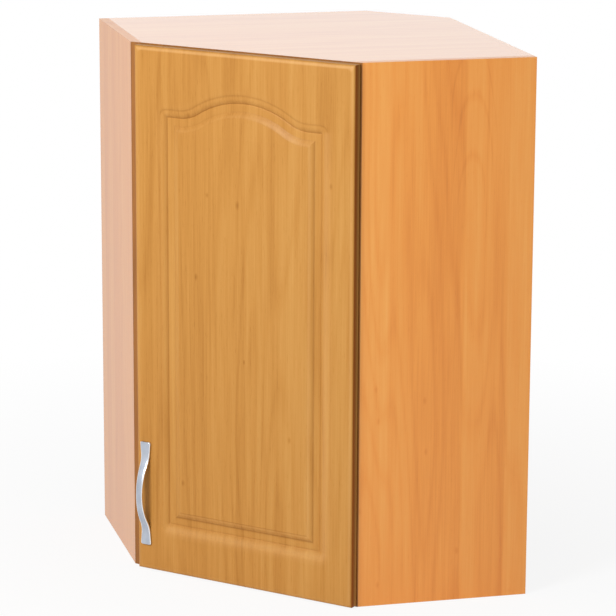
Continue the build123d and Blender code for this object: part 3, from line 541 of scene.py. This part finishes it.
def door_back_laminate():
    """Plain off-white melamine with the fine pearl of its press plate."""
    finish = Finish("door_back_laminate", roughness=0.45)
    pearl = finish.noise(finish.stretch(finish.place(), 900, 900, 900), 2)
    finish.colour(finish.ramp(pearl, [(0.3, tone(226, 221, 210)), (0.7, tone(234, 230, 221))]))
    finish.relief(pearl, 0.00003)
    return finish.material


foil = door_foil()
door_back = door_back_laminate()
print("door finishes:", foil.name, door_back.name)

# %% [markdown]
# Hardboard, metals and plastics. Hardboard is pressed fibre: smooth and printed on the cabinet's
# inner side, brown and woven-looking behind. Stamped hinge steel is plated and slightly cloudy,
# the fixing screws are zinc with a yellow cast, and the handle is satin metal whose fine brush
# lines run along it, with polished narrow sides. The polished sides are also a paler metal tone,
# a painted highlight along the handle's edges.

# %% Hardboard
WALL_SIDE_OF_BACKS = 0.2835  # a back's outer face lies beyond this x or y


def hardboard():
    finish = Finish("hardboard", roughness=0.6)
    point = finish.place()
    fibres = finish.noise(finish.stretch(point, 260, 260, 260), 4, 0.7)
    clouds = finish.noise(finish.stretch(point, 9, 9, 9), 3)
    brown = [(0.25, tone(120, 84, 54)), (0.5, tone(146, 106, 70)), (0.8, tone(168, 128, 90))]
    rough_side = finish.ramp(finish.add_centred(fibres, clouds, 0.6), brown)
    value = wood_layers(finish, point, broad=0.2, streaks=0.2, fibres=0.1, pores=0.1)
    smooth_side = finish.ramp(value, UPRIGHT_TONES)
    x, y, _ = finish.split(point)
    wall_side = finish.math("GREATER_THAN", finish.math("MAXIMUM", x, y), WALL_SIDE_OF_BACKS)
    finish.colour(finish.mix(wall_side, smooth_side, rough_side))
    finish.relief(fibres, 0.0001)
    return finish.material


# %% Metals
def cloudy_metal(name, dark, light, roughness, scale=120.0):
    """Plated metal with soft clouds."""
    finish = Finish(name, roughness=roughness, metallic=1.0)
    clouds = finish.noise(finish.stretch(finish.place(), scale, scale, scale), 4, 0.6)
    finish.colour(finish.ramp(clouds, [(0.3, dark), (0.7, light)]))
    finish.set("Roughness", finish.between(clouds, 0.2, 0.8, roughness - 0.06, roughness + 0.08))
    finish.relief(clouds, 0.00002)
    return finish.material


def satin_metal():
    """The handle: fine brush lines along z."""
    finish = Finish("satin_metal", roughness=0.24, metallic=1.0)
    point = finish.place(turn=(0, 0, math.pi / 4))
    lines = finish.noise(finish.stretch(point, 2600, 2600, 30), 2)
    clouds = finish.noise(finish.stretch(point, 60, 60, 30), 2)
    finish.colour(finish.ramp(clouds, [(0.3, tone(168, 175, 187)), (0.7, tone(190, 196, 206))]))
    finish.set("Roughness", finish.between(lines, 0.25, 0.75, 0.26, 0.36))
    finish.relief(lines, 0.00001)
    return finish.material


nickel = cloudy_metal("hinge_steel", tone(176, 176, 174), tone(206, 206, 203), 0.28)
zinc = cloudy_metal("zinc_plate", tone(170, 168, 158), tone(204, 201, 186), 0.36, scale=200.0)
handle_satin = satin_metal()
# the narrow sides: smoother metal, and a paler tone that is a painted highlight
handle_polish_and_highlight = cloudy_metal("polished_edge_painted_highlight", tone(226, 228, 232), tone(240, 241, 244), 0.16)
board_back = hardboard()
print("metals:", nickel.name, zinc.name, handle_satin.name)


# %% Beech, plastics and bumpers
def beech_dowel():
    finish = Finish("beech_dowel", roughness=0.55)
    value = wood_layers(finish, finish.place(), pores=0.3)
    finish.colour(finish.ramp(value, [(0.2, tone(196, 158, 112)), (0.8, tone(226, 195, 154))]))
    return finish.material


def moulded_plastic(name, dark, light, roughness):
    """Moulded plastic with the faint orange-peel of its tool."""
    finish = Finish(name, roughness=roughness)
    peel = finish.noise(finish.stretch(finish.place(), 500, 500, 500), 3)
    finish.colour(finish.ramp(peel, [(0.3, dark), (0.7, light)]))
    finish.relief(peel, 0.00003)
    return finish.material


beech = beech_dowel()
white_plastic = moulded_plastic("white_plastic", tone(224, 223, 217), tone(236, 235, 230), 0.42)
soft_bumper = moulded_plastic("soft_bumper", tone(196, 198, 196), tone(214, 216, 213), 0.3)
print("small finishes:", beech.name, white_plastic.name, soft_bumper.name)

# %% [markdown]
# Every piece of the engineering model gets its finish here: only the material in its slot changes.
# The door leaf, the handle and the screws are made anew further down.

# %% Dress the engineering model's own pieces
HINGE_PARTS = ("hinge_cup", "outer_link", "inner_link", "hinge_arm", "hinge_plate")
HANGER_METAL = ("hanger_hook", "wall_plate")
NODE_FINISHES = {
    upright: ["left_side", "right_side", "corner_post"],
    level: ["top_panel", "bottom_panel", "lower_shelf", "upper_shelf"],
    band: ["front_edge_bands", "shelf_edge_bands"],
    board_back: ["left_back_panel", "right_back_panel"],
    foil: ["door_panel"],
    handle_satin: ["handle"],
    nickel: [
        "hinge_cup_pins", "hinge_arm_pins",
        *(f"{place}_{part}" for part in HINGE_PARTS for place in ("lower", "upper")),
    ],
    zinc: [
        "cam_locks", "cam_bolts", "shelf_pins", "handle_screws", "cup_screws", "plate_screws",
        "arm_screws", "hanger_screws",
        *(f"{place}_{part}" for part in HANGER_METAL for place in ("left", "right")),
    ],
    beech: ["wood_dowels"],
    white_plastic: ["left_hanger_housing", "right_hanger_housing"],
    soft_bumper: ["door_bumpers"],
}
for material, names in NODE_FINISHES.items():
    for name in names:
        for slot in frame["nodes"][name].material_slots:
            slot.material = material
bare = set(frame["nodes"]) - {name for names in NODE_FINISHES.values() for name in names}
print("dressed nodes:", len(frame["nodes"]) - len(bare), "bare:", sorted(bare))

# %% [markdown]
# The door leaf. A router cuts the panel's outline to one rule: the same arched contour, moved
# inwards step by step, each step at its own depth. The engineering model holds a few such steps;
# here the same rule runs at many fine steps, so the cut edges round softly and catch the light.
# Sizes are in millimetres in the door's own frame: x along its face from the handle edge, y up, and
# z from its back to its face. A step holds its inset, its depth and one tint for each direction in
# the list above it; tints left out are 0. The tints are painted light and shade. A tint above 0 is
# painted shade: it darkens the foil where the contour faces that direction, on slopes turned away
# from the key lamp and in the groove lines. One below 0 is a painted highlight: it pales the foil
# where slopes and rounded edges face the light.

# %% The rule of the routed panel
DOOR_MM = (418.906, 896.0, 16.0)
TO_THE_RIGHT, UP, DOWN = Vector((1, 0)), Vector((0, 1)), Vector((0, -1))
UP_AND_LEFT, DOWN_AND_RIGHT = Vector((-0.6, 0.8)), Vector((0.6, -0.8))
RATHER_UP = Vector((0.35, 0.94))
EDGE_TINTS = (TO_THE_RIGHT, RATHER_UP)
# painted shade on the leaf's right side face, painted highlight on its rounded top rim
EDGE_STEPS = (
    (0.0, 16.0), (0.0, 10.0, 0.6), (0.0, 3.5, 0.9, -0.1), (0.25, 2.8, 0.75), (1.0, 2.0, 0.35),
    (2.0, 1.35, 0.1, -0.1), (3.2, 0.85, 0.0, -0.2), (5.0, 0.38, 0.0, -0.24),
    (6.6, 0.08, 0.0, -0.13), (7.6, 0.0),
)
COVE_TINTS = (UP, UP_AND_LEFT, DOWN_AND_RIGHT)
# painted shade in the groove lines of the arch and the left side, painted highlight on the lower
# and right lips
COVE_STEPS = (
    (0.0, 0.0), (0.5, 0.05), (4.0, 0.2, 0.0, 0.0, -0.02), (8.0, 0.42, 0.0, 0.0, -0.05),
    (11.0, 0.68, 0.03, 0.0, -0.1), (12.0, 0.88, 0.13, 0.0, -0.13), (13.0, 1.2, 0.18, 0.0, -0.15),
    (14.0, 1.46, 0.13, 0.0, -0.15), (15.5, 1.58, 0.02, 0.0, -0.15), (18.0, 1.8, 0.0, 0.02, -0.14),
    (21.0, 2.35, 0.0, 0.08, -0.1), (23.5, 3.15, 0.0, 0.15, -0.03), (25.2, 4.0, 0.0, 0.22),
    (26.2, 4.75, 0.0, 0.28), (26.5, 5.0, 0.0, 0.2),
)
FIELD_TINTS = (DOWN_AND_RIGHT, DOWN, TO_THE_RIGHT)
# painted shade along the field's foot on its lower and right sides and along its lower top edge; a
# faint painted highlight on its right slope
FIELD_STEPS = (
    (26.5, 5.0), (27.0, 4.62), (27.6, 4.32), (29.0, 4.24), (34.0, 4.2), (37.5, 4.2, 0.06),
    (39.5, 4.15, 0.4), (40.1, 3.95, 0.36), (41.5, 3.2, 0.12), (44.0, 1.95, 0.03, 0.0, -0.04),
    (47.0, 0.9, 0.0, -0.06, -0.08), (49.0, 0.36, 0.0, 0.08, -0.08), (49.6, 0.2, 0.0, 0.24, -0.04),
    (49.9, 0.06, 0.0, 0.2), (50.4, 0.0),
)
LEAST_TINT = 0.2             # share of a tint where the contour faces away
TINT_SPREAD = 1.3            # above 1, a tint is full in a wider range of directions
PANEL_SIDE, PANEL_BOTTOM, PANEL_SHOULDER = 36.0, 60.0, 88.6
SHOULDER_WIDTH = 50.0
ARCH_RISE, ARCH_GUIDE, ARCH_LEVEL, ARCH_HOLLOW = 34.7, 15.0, 1.0, 58.0
ARCH_HALF = DOOR_MM[0] / 2 - PANEL_SIDE - SHOULDER_WIDTH - ARCH_LEVEL
GROOVE_INSET = 26.5
SHARP = 0.4                  # the smallest corner radius
EDGE_CORNER = 8.0            # radius of the leaf's own corners, seen from the front


def arc(centre, radius, start, end, count):
    """Points on an arc, without its last one; angles in radians."""
    angles = [start + (end - start) * i / count for i in range(count)]
    return [(centre[0] + radius * math.cos(a), centre[1] + radius * math.sin(a)) for a in angles]


def line(start, end, count):
    """Points on a straight line, without its last one."""
    (x, y), (end_x, end_y) = start, end
    return [(x + (end_x - x) * i / count, y + (end_y - y) * i / count) for i in range(count)]


def arched_contour(inset):
    """The panel's contour, moved inwards; it always has the same number of points."""
    middle = DOOR_MM[0] / 2
    left, bottom = PANEL_SIDE + inset, PANEL_BOTTOM + inset
    shoulder = DOOR_MM[1] - PANEL_SHOULDER - inset
    corner = max(GROOVE_INSET - inset, SHARP)
    both_radii = (ARCH_HALF**2 + ARCH_RISE**2) / (2 * ARCH_RISE)
    hollow = ARCH_HOLLOW + inset - ARCH_GUIDE
    crown = both_radii - hollow
    turn = math.atan2(ARCH_HALF, both_radii - ARCH_RISE)
    start = middle - ARCH_HALF
    quarter = math.pi / 2
    half = arc((middle, shoulder + ARCH_RISE - crown), crown, quarter, quarter + turn, 26)
    half += arc((start, shoulder + hollow), hollow, turn - quarter, -quarter, 14)
    half += line((start, shoulder), (left + corner, shoulder), 3)
    half += arc((left + corner, shoulder - corner), corner, quarter, 2 * quarter, 10)
    half += line((left, shoulder - corner), (left, bottom + corner), 12)
    half += arc((left + corner, bottom + corner), corner, 2 * quarter, 3 * quarter, 10)
    half += line((left + corner, bottom), (middle, bottom), 8)
    half.append((middle, bottom))
    mirrored = [(2 * middle - x, y) for x, y in reversed(half[1:-1])]
    return half + mirrored


def edge_contour(inset, corner):
    """Rectangle with rounded corners, parallel to the door's edge."""
    low, right, top = inset + corner, DOOR_MM[0] - inset - corner, DOOR_MM[1] - inset - corner
    quarter = math.pi / 2
    points = []
    for index, (x, y) in enumerate([(right, top), (low, top), (low, low), (right, low)]):
        last = (index + 1) * quarter
        points += arc((x, y), corner, index * quarter, last, 8)
        points.append((x + corner * math.cos(last), y + corner * math.sin(last)))
    return points


print("points on each arched contour:", len(arched_contour(0)))

# %% Door frame and its holes
ROOT_HALF = math.sqrt(0.5)
FREE_END = 420.406           # along the front, from the right-hand corner to the door's free end
ALONG_FRONT, OUTWARD = Vector((-ROOT_HALF, ROOT_HALF, 0)), Vector((-ROOT_HALF, -ROOT_HALF, 0))
BELOW_LEAF, BEHIND_LEAF = 2.0, 2.0     # gaps: from the carcass foot and from its front
RIGHT_CORNER = Vector((10.0, -300.0, BELOW_LEAF))
DOOR_ORIGIN = RIGHT_CORNER + FREE_END * ALONG_FRONT + BEHIND_LEAF * OUTWARD
DOOR_TURN = Matrix(((ROOT_HALF, 0, -ROOT_HALF), (-ROOT_HALF, 0, -ROOT_HALF), (0, 1, 0)))


def to_row(point):
    """From the door's frame in millimetres to the model's frame in metres."""
    return (DOOR_ORIGIN + DOOR_TURN @ Vector(point)) / 1000


CUP_X = FREE_END - 22.784    # from the right-hand corner
CUP_HEIGHTS = (100.0, 796.0)
CUP_BORE, HANDLE_BORE = (17.5, 12.4), (2.25, 15.9)  # radius and depth
HANDLE_X, HANDLE_Y = 18.5, 134.5
HANDLE_CENTRES = 160.0
BACK_HOLES = [((CUP_X, y), *CUP_BORE) for y in CUP_HEIGHTS]
BACK_HOLES += [((HANDLE_X, HANDLE_Y + end * HANDLE_CENTRES / 2), *HANDLE_BORE) for end in (-1, 1)]
print("door corner at", [round(v, 4) for v in to_row((0, 0, 0))])


# %% Build the door leaf
class Shell:
    """Collects points and faces of one mesh."""

    def __init__(self):
        self.points, self.shades, self.faces, self.flat = [], [], [], []

    def ring(self, contour, height, tints=()):
        """A level ring; its painted shading is the sum of its tints, each (amount, direction) full
        where the ring faces its direction.
        """
        start = len(self.points)
        self.points += [(x, y, height) for x, y in contour]
        for i in range(len(contour)):
            ahead, behind = contour[(i + 1) % len(contour)], contour[i - 1]
            outward = Vector((ahead[1] - behind[1], behind[0] - ahead[0])).normalized()
            self.shades.append(sum(
                amount * max(LEAST_TINT, min(TINT_SPREAD * outward.dot(direction), 1.0))
                for amount, direction in tints
            ))
        return list(range(start, len(self.points)))

    def join(self, lower, upper, flip=False):
        """A belt of quads between two rings of the same length."""
        count = len(lower)
        for i in range(count):
            j = (i + 1) % count
            quad = (lower[i], lower[j], upper[j], upper[i])
            self.faces.append(quad[::-1] if flip else quad)
            self.flat.append(False)

    def fill(self, rings, up=True):
        """A level face between an outer ring and any inner ones."""
        loops = [[Vector(self.points[i]) for i in ring] for ring in rings]
        order = [i for ring in rings for i in ring]
        triangles = [tuple(order[i] for i in triangle) for triangle in tessellate_polygon(loops)]
        area_up = 0.0
        for triangle in triangles:
            first, second, third = [Vector(self.points[i]) for i in triangle]
            area_up += (second - first).cross(third - first).z
        for triangle in triangles:
            self.faces.append(triangle if (area_up > 0) == up else triangle[::-1])
            self.flat.append(True)


def stepped(shell, steps, contour, directions):
    """Rings at each step of a profile, joined in order."""
    rings = [
        shell.ring(contour(inset), DOOR_MM[2] - depth, list(zip(amounts, directions)))
        for inset, depth, *amounts in steps
    ]
    for lower, upper in zip(rings, rings[1:]):
        shell.join(lower, upper)
    return rings


def door_shell():
    shell = Shell()
    grow = (EDGE_CORNER - SHARP) / EDGE_STEPS[-1][0]
    edge = stepped(
        shell, EDGE_STEPS, lambda inset: edge_contour(inset, SHARP + grow * inset), EDGE_TINTS
    )
    cove = stepped(shell, COVE_STEPS, arched_contour, COVE_TINTS)
    field = stepped(shell, FIELD_STEPS, arched_contour, FIELD_TINTS)
    shell.fill([edge[-1], cove[0]])
    shell.fill([field[-1]])
    holes = []
    for centre, radius, depth in BACK_HOLES:
        circle = arc(centre, radius, 0, 2 * math.pi, 40 if radius > 10 else 16)
        mouth, bottom = shell.ring(circle, 0.0), shell.ring(circle, depth)
        shell.join(mouth, bottom, flip=True)
        shell.fill([bottom], up=False)
        holes.append(mouth)
    shell.fill([edge[0]] + holes, up=False)
    return shell


SAME_POINT = 1e-6            # points nearer than this, in metres, are merged


def make_piece(name, shell, place, materials, choose):
    """An object from a shell, whose place is in its mesh; choose picks each face's material."""
    mesh = bpy.data.meshes.new(name)
    mesh.from_pydata([place(point) for point in shell.points], [], shell.faces)
    for material in materials:
        mesh.materials.append(material)
    for polygon, flat in zip(mesh.polygons, shell.flat):
        polygon.use_smooth = not flat
    if shell.shades:
        shade = mesh.attributes.new("shade", "FLOAT", "POINT")
        shade.data.foreach_set("value", shell.shades)
    work = bmesh.new()
    work.from_mesh(mesh)
    bmesh.ops.remove_doubles(work, verts=work.verts, dist=SAME_POINT)
    work.to_mesh(mesh)
    work.free()
    for polygon in mesh.polygons:
        polygon.material_index = choose(polygon)
    mesh.set_sharp_from_angle(angle=math.radians(38))
    return place_object(name, mesh)


def back_or_foil(polygon):
    """The flat back is plain melamine; the foil wraps the rest."""
    return 1 if polygon.normal.dot(OUTWARD) < -0.99 else 0


door_leaf = make_piece("door_leaf", door_shell(), to_row, [foil, door_back], back_or_foil)
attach(door_leaf, "door")
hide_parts("door_panel")
print("door leaf faces:", len(door_leaf.data.polygons))

# %% [markdown]
# The handle is a strap bent into a wave and pinched at its waist. Its side view is two bends and a
# flat foot on each half. Walking along that line and setting a rounded oblong across it at every
# station gives a smooth strap; the oblong narrows towards the waist.

# %% Handle
STRAP_THICKNESS, STRAP_WIDTH, STRAP_WAIST, STRAP_CORNER = 4.5, 20.0, 12.0, 2.5
STRAP_RISE, STRAP_HOLLOW = 20.0, 45.0
BEND_ENDS = HANDLE_CENTRES / 2 - 9.0   # these three: from the middle, along x
STRAP_END = HANDLE_CENTRES / 2 + 10.0
CORNER_STARTS = STRAP_END - STRAP_CORNER
END_PULLS = (0.9, 0.35, 0.1)           # how far the last sections at each end are drawn in


def wavy_stations():
    """Half of the strap's inner line from the middle outwards: (x, height, normal x, normal z)."""
    both_radii = (BEND_ENDS**2 + STRAP_RISE**2) / (2 * STRAP_RISE)
    turn = math.atan2(BEND_ENDS, both_radii - STRAP_RISE)
    crown = both_radii - STRAP_HOLLOW
    stations = []
    for i in range(33):
        angle = math.pi / 2 - turn * i / 32
        nx, nz = math.cos(angle), math.sin(angle)
        stations.append((crown * nx, STRAP_RISE - crown + crown * nz, nx, nz))
    for i in range(1, 25):
        angle = 1.5 * math.pi - turn + turn * i / 24
        nx, nz = -math.cos(angle), -math.sin(angle)
        stations.append((BEND_ENDS - STRAP_HOLLOW * nx, STRAP_HOLLOW * (1 - nz), nx, nz))
    foot = [BEND_ENDS + (CORNER_STARTS - BEND_ENDS) * i / 5 for i in range(1, 6)]
    foot += [CORNER_STARTS + STRAP_CORNER * math.sin(i * math.pi / 16) for i in range(1, 9)]
    return stations + [(x, 0.0, 0.0, 1.0) for x in foot]


def half_width(x):
    """Half of the strap's width at x: hollow sides between the ends, and rounded corners."""
    wide, waist = STRAP_WIDTH / 2, STRAP_WAIST / 2
    radius = (CORNER_STARTS**2 + (wide - waist) ** 2) / (2 * (wide - waist))
    x = min(abs(x), STRAP_END)
    if x <= CORNER_STARTS:
        return waist + radius - math.sqrt(radius**2 - x**2)
    return wide - STRAP_CORNER + math.sqrt(max(STRAP_CORNER**2 - (x - CORNER_STARTS) ** 2, 0.0))


def strap_section(width, pull, count=44, power=3.6):
    """Rounded oblong: (across, height); pull draws it in for the rounded ends."""
    def rounded(value):
        return math.copysign(abs(value) ** (2 / power), value)

    half, points = STRAP_THICKNESS / 2, []
    for i in range(count):
        angle = 2 * math.pi * i / count
        across, height = rounded(math.cos(angle)), rounded(math.sin(angle))
        points.append((across * max(width - pull, 0.2), half + height * (half - pull)))
    return points


def handle_shell():
    shell, rings = Shell(), []
    half = wavy_stations()
    whole = [(-x, z, -nx, nz) for x, z, nx, nz in reversed(half[1:])] + half
    for index, (x, z, nx, nz) in enumerate(whole):
        from_end = min(index, len(whole) - 1 - index)
        pull = END_PULLS[from_end] if from_end < len(END_PULLS) else 0.0
        start = len(shell.points)
        for across, height in reversed(strap_section(half_width(x), pull)):
            shell.points.append((x + nx * height, across, z + nz * height))
        rings.append(list(range(start, len(shell.points))))
    for lower, upper in zip(rings, rings[1:]):
        shell.join(lower, upper)
    shell.faces.append(tuple(reversed(rings[0])))
    shell.faces.append(tuple(rings[-1]))
    shell.flat += [True, True]
    return shell


def handle_to_row(point):
    x, across, height = point
    return to_row((HANDLE_X + across, HANDLE_Y + x, DOOR_MM[2] + height))


def front_or_side(polygon):
    """The strap's broad faces are brushed, its narrow sides polished and painted paler as a
    highlight.
    """
    return 1 if abs(polygon.normal.dot(ALONG_FRONT)) > 0.25 else 0


pull_handle = make_piece(
    "pull_handle", handle_shell(), handle_to_row, [handle_satin, handle_polish_and_highlight], front_or_side
)
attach(pull_handle, "door")
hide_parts("handle")
print("handle faces:", len(pull_handle.data.polygons))

# %% [markdown]
# Screws repeat, so Geometry Nodes make them. One tree builds a cross-head screw from its sizes and
# sets a copy on every point it is given, turned by chance about its own axis, because no two screws
# stop at the same angle. The points come from the engineering model: each of its plain screws is a
# separate island of its mesh, and the end of an island is where the head belongs.

# %% Tree of the cross-head screws
def screw_tree():
    tree = bpy.data.node_groups.new("cross_head_screws", "GeometryNodeTree")
    sizes = dict.fromkeys(("Head radius", "Head height", "Shank radius", "Shank length"), "Float")
    kinds = {"Geometry": "Geometry", **sizes, "Seed": "Int", "Finish": "Material"}
    for name, kind in kinds.items():
        tree.interface.new_socket(name, in_out="INPUT", socket_type="NodeSocket" + kind)
    tree.interface.new_socket("Geometry", in_out="OUTPUT", socket_type="NodeSocketGeometry")
    entry, leave = tree.nodes.new("NodeGroupInput"), tree.nodes.new("NodeGroupOutput")

    def add(kind, inputs=None, result=0, **settings):
        return add_node(tree, kind, inputs, result, **settings)

    def times(value, factor):
        return add("ShaderNodeMath", {0: value, 1: factor}, operation="MULTIPLY")

    def join(*parts):
        joined = add("GeometryNodeJoinGeometry")
        for part in parts:
            tree.links.new(part, joined.node.inputs[0])
        return joined

    def raised(geometry, height):
        lift = add("ShaderNodeCombineXYZ", {2: height})
        return add("GeometryNodeTransform", {"Geometry": geometry, "Translation": lift})

    radius, height = entry.outputs["Head radius"], entry.outputs["Head height"]
    head = add("GeometryNodeMeshCone", {
        "Vertices": 32, "Radius Top": times(radius, 0.82), "Radius Bottom": radius, "Depth": height,
        "Side Segments": 2,
    })
    narrow = times(radius, 0.22)
    cuts = []
    for sides in ((radius, narrow), (narrow, radius)):
        size = add("ShaderNodeCombineXYZ", {0: sides[0], 1: sides[1], 2: height})
        cuts.append(add("GeometryNodeMeshCube", {"Size": size}))
    cross = raised(join(*cuts), times(height, 1.35))
    solids = {"Mesh 1": head, "Mesh 2": cross, "Self Intersection": True}
    carved = add("GeometryNodeMeshBoolean", solids, operation="DIFFERENCE", solver="EXACT")
    length = entry.outputs["Shank length"]
    rod = {"Vertices": 20, "Radius": entry.outputs["Shank radius"], "Depth": length}
    shank = raised(add("GeometryNodeMeshCylinder", rod), times(length, -0.5))
    facing = add("GeometryNodeInputNamedAttribute", {"Name": "facing"}, data_type="FLOAT_VECTOR")
    upright_turn = add("FunctionNodeAlignRotationToVector", {"Vector": facing}, axis="Z")
    chance = {2: 0.0, 3: math.tau, "Seed": entry.outputs["Seed"]}
    angle = add("FunctionNodeRandomValue", chance, 1, data_type="FLOAT")
    spin = add("FunctionNodeAxisAngleToRotation", {"Angle": angle})
    turned = add("FunctionNodeRotateRotation", {0: upright_turn, 1: spin}, rotation_space="LOCAL")
    on_points = {"Points": entry.outputs[0], "Instance": join(carved, shank), "Rotation": turned}
    copies = add("GeometryNodeInstanceOnPoints", on_points)
    real = add("GeometryNodeRealizeInstances", {0: copies})
    coated = add("GeometryNodeSetMaterial", {"Geometry": real, "Material": entry.outputs["Finish"]})
    tree.links.new(coated, leave.inputs[0])
    return tree


cross_head_screws = screw_tree()
print("screw tree has", len(cross_head_screws.nodes), "nodes")


# %% Where the screws stand
def islands(node):
    """The separate pieces of a node's mesh, each as a list of points."""
    work = bmesh.new()
    work.from_mesh(frame["nodes"][node].data)
    bmesh.ops.remove_doubles(work, verts=work.verts, dist=SAME_POINT)
    left, found = dict.fromkeys(work.verts), []
    while left:
        reach, group = [left.popitem()[0]], []
        while reach:
            vertex = reach.pop()
            group.append(vertex.co.copy())
            for edge in vertex.link_edges:
                other = edge.other_vert(vertex)
                if other in left:
                    del left[other]
                    reach.append(other)
        found.append(group)
    work.free()
    return found


def head_seat(points, facing, head):
    """The middle of the circle under the head, and the shank's length behind it."""
    low = Vector([min(p[i] for p in points) for i in range(3)])
    high = Vector([max(p[i] for p in points) for i in range(3)])
    middle = (low + high) / 2
    reach = [(p - middle).dot(facing) for p in points]
    seat = middle + facing * (max(reach) - head)
    return seat, max(reach) - min(reach) - head


def set_screws(name, node, body, facing, sizes, seed):
    """Replace a node's plain screws by cross-head ones."""
    radius, head, shank = sizes
    seats, turns, lengths = [], [], []
    for points in islands(node):
        middle = sum(points, Vector()) / len(points)
        direction = facing(middle).normalized()
        seat, length = head_seat(points, direction, head)
        seats.append(seat + direction * head / 2)
        turns.append(direction)
        lengths.append(length + head / 2)
    cloud = bpy.data.meshes.new(name + "_places")
    cloud.from_pydata(seats, [], [])
    facings = cloud.attributes.new("facing", "FLOAT_VECTOR", "POINT")
    for item, turn in zip(facings.data, turns):
        item.vector = turn
    places = place_object(name + "_places", cloud)
    modifier = places.modifiers.new("screws", "NODES")
    modifier.node_group = cross_head_screws
    values = {
        "Head radius": radius, "Head height": head, "Shank radius": shank,
        "Shank length": max(lengths[0], head), "Seed": seed, "Finish": zinc,
    }
    for item in cross_head_screws.interface.items_tree:
        if item.in_out == "INPUT" and item.name in values:
            modifier[item.identifier] = values[item.name]
    bpy.context.view_layer.update()
    evaluated = places.evaluated_get(bpy.context.evaluated_depsgraph_get())
    mesh = bpy.data.meshes.new_from_object(evaluated)
    mesh.name = name
    bpy.data.objects.remove(places)
    mesh.set_sharp_from_angle(angle=math.radians(35))
    piece = place_object(name, mesh)
    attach(piece, body)
    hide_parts(node)
    print(name, "holds", len(seats), "screws,", len(mesh.polygons), "faces")


# %% Set the screws
def from_side(middle):
    return Vector((0, 1, 0))


def from_door_back(middle):
    return Vector((1, 1, 0))


def from_hanger(middle):
    return Vector((0, -1, 0)) if middle.x < 0 else Vector((-1, 0, 0))


# name, node, body, where the head looks, (head radius, head height, shank radius), seed
SCREW_SETS = (
    ("plate_screw_set", "plate_screws", "carcass", from_side, (0.004, 0.002, 0.0024), 3),
    ("arm_screw_set", "arm_screws", "carcass", from_side, (0.004, 0.002, 0.0024), 5),
    ("hanger_screw_set", "hanger_screws", "carcass", from_hanger, (0.004, 0.0015, 0.002), 7),
    ("cup_screw_set", "cup_screws", "door", from_door_back, (0.003, 0.001, 0.0019), 11),
    ("handle_screw_set", "handle_screws", "door", from_door_back, (0.004, 0.002, 0.002), 13),
)
for screw_set in SCREW_SETS:
    set_screws(*screw_set)
